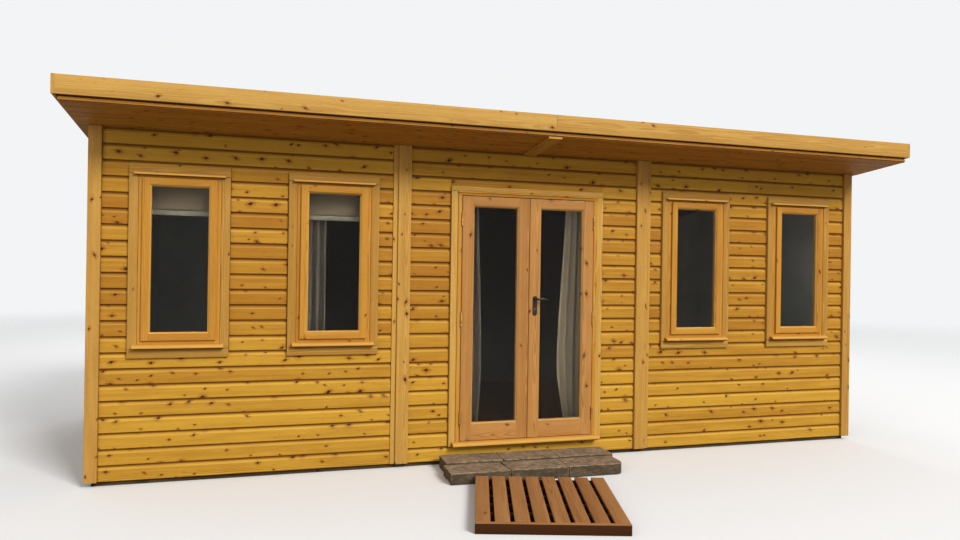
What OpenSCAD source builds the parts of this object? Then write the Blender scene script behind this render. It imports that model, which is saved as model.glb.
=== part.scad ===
// Timber garden office pod: a pent-roofed cabin of three front panels, with glazed double doors
// in the middle panel, two tall windows in each outer panel and a block doorstep.
// The origin is on the ground in the middle of the plan. The front faces -Y.

/* [Pod] */
// Width over the corner trims
pod_w = 6000; // [5700:10:6300]
// Depth over the corner trims
pod_d = 3000; // [2600:10:3600]
// Height of the soffit boards where they meet the front cladding
soffit_z = 2310; // [2290:5:2400]
// Fall of the roof from front to back, in degrees
roof_fall = 5; // [2:0.5:7]
// Width of the middle panel, which holds the doors
door_panel_w = 2000; // [1900:10:2100]

/* [Base] */
// Height of the bearers under the floor
bearer_h = 60; // [45:5:75]
// Width of one bearer
bearer_w = 70; // [45:5:100]
// Number of bearers, an odd number so that one lies under the middle
bearer_count = 5; // [3:2:7]
// Thickness of the floor, joists and boards together
floor_t = 80; // [60:5:90]
// Height of the bottom edge of the cladding above the ground
skirt_z = 30; // [20:5:40]

/* [Walls] */
// Depth of the wall studs
stud_t = 63; // [45:1:90]
// Thickness of the inner lining
lining_t = 12; // [9:1:18]
// Thickness of the cladding boards
cladding_t = 20; // [16:1:25]
// Height that one cladding board covers
board_cover = 103.6; // [90:0.1:125]
// Height of the scoop along the top of each board
scoop_h = 28; // [15:1:32]
// Depth of that scoop
scoop_d = 9; // [5:1:12]

/* [Trims] */
// Thickness of the outside trim boards
trim_t = 20; // [14:1:25]
// Width of the corner trims
corner_trim_w = 78; // [60:1:95]
// Width of the cover strips beside the door panel
strip_w = 92; // [75:1:110]
// Width of the closing batten beside each cover strip
batten_w = 35; // [25:1:45]

/* [Roof] */
// Reach of the roof in front of the corner trims
front_overhang = 500; // [400:10:600]
// Reach of the roof behind the back trims
back_overhang = 120; // [80:5:200]
// Reach of the roof past the corner trims at each side
side_overhang = 100; // [80:5:150]
// Thickness of the roof panels
roof_panel_t = 110; // [90:5:120]
// Thickness of the roof covering
covering_t = 6; // [3:1:8]
// Packing gap between the roof panels and what carries them
seat_gap = 0.2; // [0.1:0.1:0.5]
// Thickness of the soffit boards
soffit_t = 18; // [16:1:22]
// Thickness of the tongue along the front edge of the soffit boards
tongue_t = 8; // [6:1:10]
// Reach of that tongue
tongue_reach = 6; // [4:1:10]
// Height and depth of the rebate under the front edge of the roof panels
panel_rebate = 24; // [20:1:30]
// Height of the fascia and barge boards
fascia_h = 114; // [110:2:140]
// Thickness of the fascia and barge boards
fascia_t = 20; // [16:1:25]
// Height of the top of the fascia above the roof covering
fascia_lip = 16; // [5:1:20]
// Width of the flat cover strip under the soffit
soffit_strip_w = 100; // [80:5:120]
// Thickness of the soffit cover strip
soffit_strip_t = 14; // [10:1:18]
// Gap between boards and panels that butt end to end
butt_gap = 1; // [0.5:0.5:3]

/* [Windows] */
// Width of a window frame
window_w = 506; // [480:1:560]
// Height of a window frame
window_h = 1107; // [1000:1:1150]
// Height of the underside of the window frames above the ground
window_z = 910; // [870:5:940]
// Distance from the edge of the door panel to the middle of the inner windows
inner_window_out = 448; // [430:1:480]
// Distance from the outside of a corner to the middle of the outer windows
outer_window_in = 552; // [500:1:570]
// Width of the boards that surround a window
surround_w = 58; // [50:1:65]
// Face width of the frame that shows round the sash
frame_show = 24; // [18:1:30]
// Face width of the sash
sash_w = 54; // [45:1:60]
// Depth of the window frame
window_frame_d = 70; // [60:1:74]
// Distance of the window frame behind the trim face
frame_back = 4; // [0:1:8]
// Depth of the sash
sash_d = 44; // [40:1:50]
// Distance from the front of a sash or leaf to its pane
pane_y = 14; // [12:1:18]
// Flat beside the bevel, at the pane and at the face
quirk = 2; // [1:0.5:3]
// Overlap of the sash lip on the frame
lip_w = 10; // [6:1:14]
// Thickness of the sash lip
lip_t = 16; // [10:1:18]
// Thickness of the panes
glass_t = 6; // [4:1:8]
// Depth of the groove that holds a pane
groove_d = 8; // [5:1:10]
// Gap between the edge of a pane and the bottom of its groove
glass_gap = 1; // [0.5:0.5:2]
// Bevel along the glass edge of the sashes and doors
bevel = 9; // [5:1:10]
// Height of the window sill
sill_h = 32; // [25:1:40]
// Reach of the sills past the trim face
sill_reach = 42; // [30:1:55]
// Reach of the sills past the frame at each side
sill_horn = 27; // [15:1:35]
// Height of the drip bead over a window
drip_h = 16; // [12:1:20]
// Reach of the drip bead past the trim face
drip_reach = 26; // [20:1:32]

/* [Doors] */
// Width of the door frame
door_w = 1116; // [1050:2:1200]
// Height of the top of the door frame above the ground
door_top_z = 2001; // [1960:1:2060]
// Height of the top of the door sill above the ground
door_sill_z = 167; // [160:1:180]
// Height of the front edge of the door sill
door_sill_h = 36; // [30:1:40]
// Reach of the door sill past the trim face
door_sill_reach = 52; // [40:1:65]
// Face width of the door frame that shows round the leaves
door_frame_show = 28; // [22:1:35]
// Depth of the door frame
door_frame_d = 92; // [85:1:95]
// Distance of the door frame in front of the trim face
door_frame_proud = 6; // [0:1:10]
// Distance of the leaves in front of the door frame
leaf_proud = 2; // [0:1:4]
// Width of the stop that the leaves close against
stop_w = 14; // [10:1:18]
// Width of the boards that surround the door
door_surround_w = 50; // [40:1:60]
// Height of the board over the door
door_head_board_h = 38; // [30:1:50]
// Thickness of the door leaves
leaf_t = 44; // [38:1:50]
// Gap round and between the leaves
leaf_gap = 5; // [4:0.5:7]
// Width of the moulded edge round a leaf's pane
moulding_w = 30; // [20:1:40]
// Width of the stiles of the leaves
stile_w = 92; // [80:1:100]
// Height of the top rail of the leaves
top_rail_h = 79; // [70:1:100]
// Height of the bottom rail of the leaves
bottom_rail_h = 130; // [110:1:160]

/* [Hinges and handles] */
// Length of a butt hinge
hinge_l = 100; // [76:1:110]
// Radius of the hinge knuckles
knuckle_r = 6; // [5:0.5:7]
// Radius of the hinge pin
pin_r = 2.5; // [2:0.1:3]
// Clearance of the pin in the knuckles of a leaf
pin_gap = 0.1; // [0.05:0.01:0.15]
// Gap between neighbouring knuckles
knuckle_gap = 0.5; // [0.3:0.1:1]
// Gap between the knuckles and the face of the leaf
knuckle_stand = 1.5; // [1:0.5:2]
// Thickness of the hinge plates
plate_t = 2; // [1.5:0.1:2.2]
// Reach of the hinge plates behind the face of the leaf
plate_reach = 34; // [25:1:38]
// Height of the top hinge's middle above the underside of the leaf
top_hinge_up = 1628; // [1580:1:1680]
// Height of the middle hinge's middle above the underside of the leaf
middle_hinge_up = 892; // [800:1:950]
// Height of the bottom hinge's middle above the underside of the leaf
bottom_hinge_up = 165; // [120:1:220]
// Height of the lever's spindle above the ground
lever_z = 1212; // [1100:1:1250]
// Length of the lever from its spindle
lever_l = 84; // [80:1:125]
// Radius of the lever's grip
lever_r = 8.5; // [7:0.5:10]
// Distance from the face of the leaf to the middle of the grip
lever_stand = 50; // [40:1:55]
// Radius of the collar where the lever meets its plate
collar_r = 12; // [10:0.5:14]
// Gap between the lever's collar and its plate
collar_gap = 0.5; // [0.3:0.1:1]
// Half side of the square spindle
spindle_r = 4; // [3:0.5:5]
// Width of the handle plates
handle_plate_w = 34; // [30:1:40]
// Height of the handle plates
handle_plate_h = 146; // [130:1:180]
// Thickness of the handle plates
handle_plate_t = 6; // [4:1:9]
// Distance from the spindle down to the middle of the keyhole
key_drop = 72; // [57:1:80]

/* [Blinds and curtains] */
// Radius of the rolled-up blind
blind_roll_r = 17; // [14:1:20]
// Width of a blind
blind_w = 450; // [420:5:480]
// Drop of a blind below its roll
blind_drop = 218; // [150:2:400]
// Thickness of the blind fabric
blind_t = 2; // [1:0.5:3]
// Height of the bar in the bottom edge of a blind
blind_bar_h = 32; // [15:1:40]
// Height of the curtain rails above the floor
rail_up = 1975; // [1950:5:2000]
// Distance from the inner lining to the middle of the curtain rails
rail_stand = 78; // [74:1:90]
// Side of a curtain rail
rail_s = 20; // [15:1:25]
// Reach of the door curtain rail past the door frame at each side
rail_reach = 40; // [20:5:80]
// Thickness of a gathered curtain
curtain_t = 56; // [40:2:60]
// Width of one fold of a gathered curtain
fold_w = 26; // [20:1:40]
// Width of the left door curtain, drawn open
left_curtain_w = 230; // [100:10:260]
// Width of the right door curtain, drawn open
right_curtain_w = 225; // [150:5:320]
// Distance of the door curtains inside the edges of the door frame
curtain_in = 20; // [0:5:40]
// Width of the window curtain, drawn open
window_curtain_w = 212; // [150:2:250]
// Drop of the window curtain below the window frame
window_curtain_drop = 60; // [30:5:120]
// Gap between the floor and the door curtains
curtain_floor_gap = 25; // [10:5:60]

/* [Doorstep] */
// Length of one step block
block_l = 418; // [380:1:440]
// Depth of one step block
block_d = 226; // [200:1:240]
// Height of the blocks in the back row
block_h = 88; // [75:1:100]
// Depth that the front row is sunk below the back row
front_row_drop = 10; // [0:1:20]
// Gap between step blocks
block_gap = 4; // [2:1:8]
// Gap between the trim face and the back row of blocks, at its middle
step_gap = 54; // [40:1:70]
// Gap between the two rows of blocks
row_gap = 14; // [5:1:20]
// Distance of the back row's middle from the middle of the doors
back_row_x = -55; // [-70:1:0]
// Distance of the front row's middle from the middle of the doors
front_row_x = -80; // [-110:1:0]
// Turn of the doorstep from square to the pod, in degrees
step_turn = 1.2; // [0:0.1:2]

/* [Duckboard] */
// Distance of the duckboard's back left corner from the middle of the doors
duckboard_x = -557; // [-600:1:-500]
// Width of the duckboard
duckboard_w = 850; // [800:5:920]
// Length of the duckboard
duckboard_l = 920; // [850:5:950]
// Turn of the duckboard from square to the pod, in degrees
duckboard_turn = 17; // [15:0.5:22]
// Number of slats
slat_count = 8; // [6:1:9]
// Width of one slat
slat_w = 85; // [75:1:88]
// Thickness of the slats
slat_t = 20; // [16:1:25]
// Thickness of the rail across the front ends of the slats
slat_rail_t = 28; // [20:1:40]
// Number of bearers under the slats
slat_bearer_count = 6; // [2:1:8]
// Height of the bearers under the slats
slat_bearer_h = 40; // [30:1:45]
// Width of the bearers under the slats
slat_bearer_w = 45; // [30:1:60]

/* [Hidden] */
$fn = 48;

// Planes of the front wall, from the outside in
trim_y = -pod_d / 2;
clad_y = trim_y + trim_t;
core_y = clad_y + cladding_t;
wall_t = stud_t + lining_t;
in_y = core_y + wall_t;
// The same planes at the side walls
clad_x = pod_w / 2 - trim_t;
core_x = clad_x - cladding_t;
in_x = core_x - wall_t;
floor_z = bearer_h + floor_t;
joint_x = door_panel_w / 2;

// Roof planes
fascia_y = trim_y - front_overhang;
back_y = -trim_y + back_overhang;
barge_x = pod_w / 2 + side_overhang;
roof_x = barge_x - fascia_t;
fascia_top_z = roof_z(fascia_y + fascia_t) + roof_panel_t + covering_t + fascia_lip;
// Twice any size of the pod, for cutters
far = 2 * pod_w;
// Distance that a cutter runs past a face
past = 1;
// Chamfer on the inner edge of the door frame
arris = 2;

function soffit_at(y) = soffit_z - (y - clad_y) * tan(roof_fall);
function roof_z(y) = soffit_at(y) + soffit_t;

// Window and door measures
inner_window_x = joint_x + inner_window_out;
outer_window_x = pod_w / 2 - outer_window_in;
window_places = [-outer_window_x, -inner_window_x, inner_window_x, outer_window_x];
glass_z = window_z + frame_show + sash_w;
window_frame_y = trim_y + frame_back;
sash_y = window_frame_y - lip_t;
door_frame_y = trim_y - door_frame_proud;
leaf_y = door_frame_y - leaf_proud;
leaf_z = door_sill_z + leaf_gap;
leaf_x = door_w / 2 - door_frame_show - leaf_gap;
leaf_w = leaf_x - leaf_gap / 2;
leaf_h = door_top_z - door_frame_show - leaf_gap - leaf_z;
hinge_x = leaf_x + leaf_gap / 2;
hinge_y = leaf_y - knuckle_stand - knuckle_r;
hinge_ups = [bottom_hinge_up, middle_hinge_up, top_hinge_up];
knuckle_count = 5;
knuckle_l = hinge_l / knuckle_count;
spindle_x = leaf_gap / 2 + stile_w / 2;

// Everything under the soffit back to soffit_end, and under the roof panels behind it
module under_roof(soffit_end = core_y) {
    rotate([90, 0, 90])
        linear_extrude(far, center = true)
            polygon([[fascia_y, 0], [fascia_y, soffit_at(fascia_y) - seat_gap],
                [soffit_end, soffit_at(soffit_end) - seat_gap], [soffit_end, roof_z(soffit_end) - seat_gap],
                [back_y, roof_z(back_y) - seat_gap], [back_y, 0]]);
}

// A box between two corners
module box(a, b) {
    translate(a)
        cube(b - a);
}

// A bar along the bottom edge of a ring, mitred at both ends.
// Its section is drawn as depth and distance in from the outer edge.
module ring_side(length, face) {
    intersection() {
        rotate([90, 0, 90])
            linear_extrude(length)
                children();
        rotate([90, 0, 0])
            linear_extrude(far, center = true)
                polygon([[0, 0], [length, 0], [length - face, face], [face, face]]);
    }
}

// A mitred rectangle of moulding in the XZ plane
module ring(w, h, face) {
    ring_side(w, face)
        children();
    translate([w, 0, h])
        rotate([0, 180, 0])
            ring_side(w, face)
                children();
    translate([0, 0, h])
        rotate([0, 90, 0])
            ring_side(h, face)
                children();
    translate([w, 0, 0])
        rotate([0, -90, 0])
            ring_side(h, face)
                children();
}

// Solids at x and at -x
module both_sides() {
    children();
    mirror([1, 0, 0])
        children();
}

// Holes through the wall for the windows at the given places
module window_holes(places) {
    for (x = places)
        box([x - window_w / 2, trim_y - far, window_z - sill_h],
            [x + window_w / 2, in_y + 1, window_z + window_h]);
}

// Floor and base

module floor_bearers() {
    reach = pod_d / 2 - trim_t - cladding_t - bearer_w / 2;
    color("saddlebrown")
        for (i = [0 : bearer_count - 1]) {
            y = -reach + i * 2 * reach / (bearer_count - 1);
            box([-core_x, y - bearer_w / 2, 0], [core_x, y + bearer_w / 2, bearer_h]);
        }
}

module floor() {
    color("tan")
        box([-core_x, core_y, bearer_h], [core_x, -core_y, floor_z]);
}

// Wall panels, each a stud frame with its lining

module front_wall(x0, x1, places) {
    intersection() {
        difference() {
            box([x0, core_y, floor_z], [x1, in_y, fascia_top_z]);
            window_holes(places);
        }
        under_roof();
    }
}

module front_wall_left() {
    color("burlywood")
        front_wall(-core_x, -joint_x, [-outer_window_x, -inner_window_x]);
}

module front_wall_right() {
    color("burlywood")
        front_wall(joint_x, core_x, [inner_window_x, outer_window_x]);
}

module door_wall_left() {
    color("burlywood")
        front_wall(-joint_x, -door_w / 2, []);
}

module door_wall_right() {
    color("burlywood")
        front_wall(door_w / 2, joint_x, []);
}

module door_wall_head() {
    color("burlywood")
        intersection() {
            box([-door_w / 2, core_y, door_top_z], [door_w / 2, in_y, fascia_top_z]);
            under_roof();
        }
}

module right_wall() {
    color("burlywood")
        intersection() {
            box([in_x, in_y, floor_z], [core_x, -in_y, fascia_top_z]);
            under_roof();
        }
}

module left_wall() {
    mirror([1, 0, 0])
        right_wall();
}

module back_wall() {
    color("burlywood")
        intersection() {
            box([-core_x, -in_y, floor_z], [core_x, -core_y, fascia_top_z]);
            under_roof();
        }
}

// Cladding of horizontal boards

// Section of the cladding, with a hollow scoop along the top edge of every board.
// Its outer face is at zero depth, and the scoop ends in a slot under the next board.
module cladding_section() {
    count = ceil((fascia_top_z - skirt_z) / board_cover);
    rise = scoop_h * 2 / 3;
    function hollow(a, high) = [scoop_d * sin(a), high - scoop_h + rise * (1 - cos(a))];
    polygon(concat([[cladding_t, skirt_z]], [for (i = [0 : count - 1], step = [0 : 5])
        let (low = skirt_z + i * board_cover, high = low + board_cover)
            step == 0 ? [0, low] : step == 5 ? [scoop_d, high] : hollow(30 * (step - 1), high)],
        [[cladding_t, skirt_z + count * board_cover]]));
}

// Boards along +X from the origin, facing -Y
module boards(length) {
    rotate([90, 0, 90])
        linear_extrude(length)
            cladding_section();
}

module front_boards(x0, x1) {
    intersection() {
        translate([x0, clad_y, 0])
            boards(x1 - x0);
        under_roof(in_y);
    }
}

module front_cladding_left() {
    color("goldenrod")
        difference() {
            front_boards(-clad_x, -joint_x - batten_w);
            window_holes([-outer_window_x, -inner_window_x]);
        }
}

module front_cladding_right() {
    color("goldenrod")
        difference() {
            front_boards(joint_x + batten_w, clad_x);
            window_holes([inner_window_x, outer_window_x]);
        }
}

module door_cladding() {
    color("goldenrod")
        difference() {
            front_boards(-joint_x, joint_x);
            box([-door_w / 2, -far, door_sill_z - door_sill_h], [door_w / 2, 0, door_top_z]);
        }
}

module left_cladding() {
    color("goldenrod")
        intersection() {
            translate([-clad_x, -core_y, 0])
                rotate([0, 0, -90])
                    boards(-2 * core_y);
            under_roof();
        }
}

module right_cladding() {
    color("goldenrod")
        intersection() {
            translate([clad_x, core_y, 0])
                rotate([0, 0, 90])
                    boards(-2 * core_y);
            under_roof();
        }
}

module back_cladding() {
    color("goldenrod")
        intersection() {
            translate([clad_x, -clad_y, 0])
                rotate([0, 0, 180])
                    boards(2 * clad_x);
            under_roof();
        }
}

// Trims over the cladding

module corner_trims() {
    color("peru")
        both_sides()
            intersection() {
                for (side = [0, 1])
                    mirror([0, side, 0]) {
                        box([pod_w / 2 - corner_trim_w, trim_y, skirt_z],
                            [pod_w / 2, clad_y, fascia_top_z]);
                        box([clad_x, trim_y, skirt_z],
                            [pod_w / 2, trim_y + corner_trim_w, fascia_top_z]);
                    }
                under_roof();
            }
}

// Each strip laps the edge of the door panel, and its batten closes the panel beside it
module cover_strips() {
    color("peru")
        both_sides()
            intersection() {
                union() {
                    box([joint_x - strip_w, trim_y, skirt_z], [joint_x, clad_y, fascia_top_z]);
                    box([joint_x, clad_y - trim_t / 4, skirt_z],
                        [joint_x + batten_w, core_y, fascia_top_z]);
                }
                under_roof(in_y);
            }
}

// Roof

// Everything between two planes parallel to the roof, at heights over the underside of its panels
module roof_layer(y0, y1, low, high) {
    rotate([90, 0, 90])
        linear_extrude(far, center = true)
            polygon([[y0, roof_z(y0) + low], [y1, roof_z(y1) + low],
                [y1, roof_z(y1) + high], [y0, roof_z(y0) + high]]);
}

// Three panels side by side, rebated along the front so that the soffit boards stand clear
module roof_panels() {
    panel_x = [-roof_x, -joint_x, joint_x, roof_x];
    front = fascia_y + fascia_t;
    color("wheat")
        difference() {
            intersection() {
                roof_layer(front, back_y - fascia_t, 0, roof_panel_t);
                for (i = [0 : len(panel_x) - 2])
                    box([panel_x[i] + (i > 0 ? butt_gap : 0), -far, 0], [panel_x[i + 1], far, far]);
            }
            roof_layer(front - panel_rebate, front + panel_rebate, -panel_rebate, panel_rebate);
        }
}

module roof_covering() {
    color("dimgray")
        intersection() {
            roof_layer(fascia_y + fascia_t, back_y - fascia_t, roof_panel_t + seat_gap,
                roof_panel_t + seat_gap + covering_t);
            box([-roof_x, -far, 0], [roof_x, far, far]);
        }
}

// Room in the soffit for what stands under it: the side walls and the trims on their corners
module wall_heads() {
    clear_x = pod_w / 2 + seat_gap;
    clear_y = -trim_y + seat_gap;
    corner = corner_trim_w + 2 * seat_gap;
    box([-clad_x - seat_gap, core_y - seat_gap, 0], [clad_x + seat_gap, -clad_y + seat_gap, far]);
    both_sides() {
        box([clad_x, core_y - seat_gap, 0], [clear_x, corner - clear_y, far]);
        box([clear_x - corner, clear_y - corner, 0], [clear_x, clear_y, far]);
    }
}

// Boards along the front with a tongue on their front edge, and their returns round the walls
module soffit() {
    front = fascia_y + fascia_t;
    tongue_low = -soffit_t + (soffit_t - tongue_t) * 2 / 3;
    color("peru")
        intersection() {
            difference() {
                union() {
                    roof_layer(front, back_y - fascia_t, -soffit_t, -seat_gap);
                    roof_layer(front - tongue_reach, front + past, tongue_low, tongue_low + tongue_t);
                }
                wall_heads();
            }
            box([-roof_x, -far, 0], [roof_x, far, far]);
        }
}

module soffit_strips() {
    color("peru")
        intersection() {
            roof_layer(fascia_y + fascia_t, clad_y - seat_gap, -soffit_t - soffit_strip_t,
                -soffit_t - seat_gap);
            box([-soffit_strip_w / 2, -far, 0], [soffit_strip_w / 2, far, far]);
        }
}

// Two boards that butt at the middle of the roof
module front_fascia() {
    color("peru")
        both_sides()
            box([butt_gap / 2, fascia_y, fascia_top_z - fascia_h],
                [roof_x, fascia_y + fascia_t, fascia_top_z]);
}

module back_fascia() {
    top = fascia_top_z - (back_y - fascia_y) * tan(roof_fall);
    color("peru")
        box([-roof_x, back_y - fascia_t, top - fascia_h], [roof_x, back_y, top]);
}

module barge_boards() {
    fall = (back_y - fascia_y) * tan(roof_fall);
    color("peru")
        both_sides()
            translate([roof_x, 0, 0])
                rotate([90, 0, 90])
                    linear_extrude(fascia_t)
                        polygon([[fascia_y, fascia_top_z - fascia_h],
                            [back_y, fascia_top_z - fascia_h - fall],
                            [back_y, fascia_top_z - fall], [fascia_y, fascia_top_z]]);
}

// Windows

module window_surrounds() {
    w = window_w + 2 * surround_w;
    color("darkkhaki")
        for (x = window_places)
            difference() {
                box([x - w / 2, trim_y, window_z - sill_h - surround_w],
                    [x + w / 2, clad_y, window_z + window_h + surround_w]);
                window_holes([x]);
            }
}

// Section of a sill, as depth from the trim face and height from its top edge
module sill_section(reach, back, h) {
    nose = h / 4;
    polygon(concat([for (a = [90 : 10 : 180]) [-reach + nose + nose * cos(a), -2 * nose + nose * sin(a)]],
        [[-reach, -h + nose], [-reach + nose, -h + nose / 2], [back, -h], [back, 0], [0, 0]]));
}

module window_sill() {
    wide = window_w + 2 * sill_horn;
    intersection() {
        translate([-wide / 2, trim_y, window_z])
            rotate([90, 0, 90])
                linear_extrude(wide)
                    sill_section(sill_reach, in_y - trim_y, sill_h);
        union() {
            box([-wide / 2, -far, 0], [wide / 2, trim_y, window_z]);
            box([-window_w / 2, -far, 0], [window_w / 2, 0, window_z]);
        }
    }
}

// A rounded bead over the head of a window
module drip_bead() {
    wide = window_w + 2 * sill_horn;
    r = drip_h / 2;
    translate([-wide / 2, trim_y, window_z + window_h - drip_h / 2])
        rotate([90, 0, 90])
            linear_extrude(wide) {
                translate([-drip_reach + r, r])
                    circle(r);
                translate([-drip_reach + r, 0])
                    square([drip_reach - r, drip_h]);
            }
}

// Section of the window frame: the rebate for the sash, then the stop behind it
module window_frame_section() {
    sash_back = sash_d - lip_t;
    rebate_w = frame_show + lip_w;
    stop_edge = frame_show + sash_w - bevel;
    polygon([[0, 0], [window_frame_d, 0], [window_frame_d, stop_edge], [sash_back, stop_edge],
        [sash_back, rebate_w], [0, rebate_w]]);
}

module window_frame(x) {
    color("chocolate")
        translate([x, 0, 0]) {
            translate([-window_w / 2, window_frame_y, window_z])
                ring(window_w, window_h, frame_show + sash_w)
                    window_frame_section();
            window_sill();
            drip_bead();
        }
}

module outer_left_window() {
    window_frame(-outer_window_x);
}

module inner_left_window() {
    window_frame(-inner_window_x);
}

module inner_right_window() {
    window_frame(inner_window_x);
}

module outer_right_window() {
    window_frame(outer_window_x);
}

// Section of a glazed edge: a bevel in front of the groove for the pane
module glazed_section(face, depth) {
    pane_back = pane_y + glass_t;
    polygon([[0, 0], [depth, 0], [depth, face], [pane_back, face], [pane_back, face - groove_d],
        [pane_y, face - groove_d], [pane_y, face], [pane_y - quirk, face],
        [quirk, face - bevel], [0, face - bevel]]);
}

module window_sashes() {
    w = window_w - 2 * frame_show;
    h = window_h - 2 * frame_show;
    color("chocolate")
        for (x = window_places)
            translate([x - w / 2, sash_y, window_z + frame_show])
                ring(w, h, sash_w)
                    difference() {
                        glazed_section(sash_w, sash_d);
                        translate([lip_t, 0])
                            square([sash_d, lip_w]);
                    }
}

// A pane that stands in the groove round an opening
module pane(w, h) {
    edge = groove_d - glass_gap;
    translate([-w / 2 - edge, pane_y, -edge])
        cube([w + 2 * edge, glass_t, h + 2 * edge]);
}

module window_glass() {
    inset = frame_show + sash_w;
    color("lightblue", 0.4)
        for (x = window_places)
            translate([x, sash_y, glass_z])
                pane(window_w - 2 * inset, window_h - 2 * inset);
}

// Door frame

module door_surround() {
    w = door_w / 2 + door_surround_w;
    color("darkkhaki")
        difference() {
            box([-w, trim_y, door_sill_z - door_sill_h], [w, clad_y, door_top_z + door_head_board_h]);
            box([-door_w / 2, -far, 0], [door_w / 2, 0, door_top_z]);
        }
}

// Section of the door frame, as depth and distance in from its outer edge
module door_frame_section() {
    stop_y = leaf_y + leaf_t + leaf_gap - door_frame_y;
    polygon([[0, 0], [door_frame_d, 0], [door_frame_d, door_frame_show + stop_w],
        [stop_y, door_frame_show + stop_w], [stop_y, door_frame_show], [arris, door_frame_show],
        [0, door_frame_show - arris]]);
}

module door_jambs() {
    h = door_top_z - door_frame_show - door_sill_z;
    color("chocolate")
        both_sides()
            translate([door_w / 2, door_frame_y, door_sill_z])
                rotate([0, 0, 90])
                    linear_extrude(h)
                        door_frame_section();
}

// The head sits on the jambs, and its stop fits between theirs
module door_head() {
    stop_x = door_w / 2 - door_frame_show - stop_w;
    color("chocolate")
        intersection() {
            translate([-door_w / 2, door_frame_y, door_top_z])
                mirror([0, 0, 1])
                    rotate([90, 0, 90])
                        linear_extrude(door_w)
                            door_frame_section();
            union() {
                box([-door_w / 2, -far, door_top_z - door_frame_show], [door_w / 2, 0, door_top_z]);
                box([-stop_x, -far, 0], [stop_x, 0, door_top_z]);
            }
        }
}

module door_sill() {
    wide = door_w + 2 * sill_horn;
    deep = door_frame_d - door_frame_proud;
    color("peru")
        intersection() {
            translate([-wide / 2, trim_y, door_sill_z])
                rotate([90, 0, 90])
                    linear_extrude(wide)
                        sill_section(door_sill_reach, deep, door_sill_h);
            union() {
                box([-wide / 2, -far, 0], [wide / 2, trim_y, far]);
                box([-door_w / 2, -far, 0], [door_w / 2, core_y, far]);
                box([-door_w / 2, -far, floor_z], [door_w / 2, 0, far]);
            }
        }
}

// Section across a hinge is round its pin, so the knuckles are true cylinders

// One knuckle, number i from the bottom, as a ring or as a solid
module knuckle(i, r, gap, bore) {
    translate([0, 0, i * knuckle_l + gap])
        difference() {
            cylinder(h = knuckle_l - 2 * gap, r = r);
            if (bore > 0)
                translate([0, 0, -past])
                    cylinder(h = knuckle_l + 2 * past, r = bore);
        }
}

// The plate beside knuckle i, from the pin line back into the gap beside the leaf
module hinge_neck(i, gap, side) {
    x0 = side > 0 ? leaf_gap / 2 - plate_t : -leaf_gap / 2;
    translate([x0, 0, i * knuckle_l + gap])
        cube([plate_t, knuckle_r + knuckle_stand, knuckle_l - 2 * gap]);
}

// The flat of a hinge plate, on the jamb (side 1) or on the leaf (side -1)
module hinge_plate(side) {
    x0 = side > 0 ? leaf_gap / 2 - plate_t : -leaf_gap / 2;
    translate([x0, knuckle_r + knuckle_stand, 0])
        cube([plate_t, plate_reach, hinge_l]);
}

// Half a butt hinge about the origin: knuckles first, first + 2 and so on
module hinge_half(first, side, bore) {
    hinge_plate(side);
    for (i = [first : 2 : knuckle_count - 1]) {
        gap = knuckle_gap / 2;
        difference() {
            union() {
                knuckle(i, knuckle_r, gap, 0);
                hinge_neck(i, gap, side);
            }
            if (bore > 0)
                translate([0, 0, i * knuckle_l - past])
                    cylinder(h = knuckle_l + 2 * past, r = bore);
        }
    }
}

module at_hinges() {
    for (up = hinge_ups)
        translate([hinge_x, hinge_y, leaf_z + up - hinge_l / 2])
            children();
}

// The frame's halves carry the pins
module frame_hinges() {
    color("darkgoldenrod")
        both_sides()
            at_hinges() {
                hinge_half(0, 1, 0);
                cylinder(h = hinge_l, r = pin_r);
            }
}

module right_hinges() {
    color("darkgoldenrod")
        at_hinges()
            hinge_half(1, -1, pin_r + pin_gap);
}

module right_door_hinges() {
    right_hinges();
}

module left_door_hinges() {
    mirror([1, 0, 0])
        right_hinges();
}

// Door leaves

glass_w = leaf_w - 2 * stile_w;
glass_h = leaf_h - top_rail_h - bottom_rail_h;

// The leaf on the right of the doorway, from the meeting line out
module leaf() {
    x0 = leaf_gap / 2;
    translate([x0, leaf_y, leaf_z]) {
        difference() {
            cube([leaf_w, leaf_t, leaf_h]);
            translate([stile_w - moulding_w, -past, bottom_rail_h - moulding_w])
                cube([glass_w + 2 * moulding_w, leaf_t + 2 * past, glass_h + 2 * moulding_w]);
        }
        translate([stile_w - moulding_w, 0, bottom_rail_h - moulding_w])
            ring(glass_w + 2 * moulding_w, glass_h + 2 * moulding_w, moulding_w)
                glazed_section(moulding_w, leaf_t);
    }
}

module leaf_glass() {
    color("lightblue", 0.4)
        translate([leaf_gap / 2 + leaf_w / 2, leaf_y, leaf_z + bottom_rail_h])
            pane(glass_w, glass_h);
}

// The hole for the spindle and the collars of the lever
module spindle_hole() {
    translate([spindle_x, leaf_y - past, lever_z])
        rotate([-90, 0, 0])
            cylinder(h = leaf_t + 2 * past, r = collar_r);
}

module right_door() {
    color("chocolate")
        difference() {
            leaf();
            spindle_hole();
        }
}

module right_door_glass() {
    leaf_glass();
}

module left_door() {
    color("chocolate")
        mirror([1, 0, 0])
            leaf();
}

module left_door_glass() {
    mirror([1, 0, 0])
        leaf_glass();
}

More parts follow.
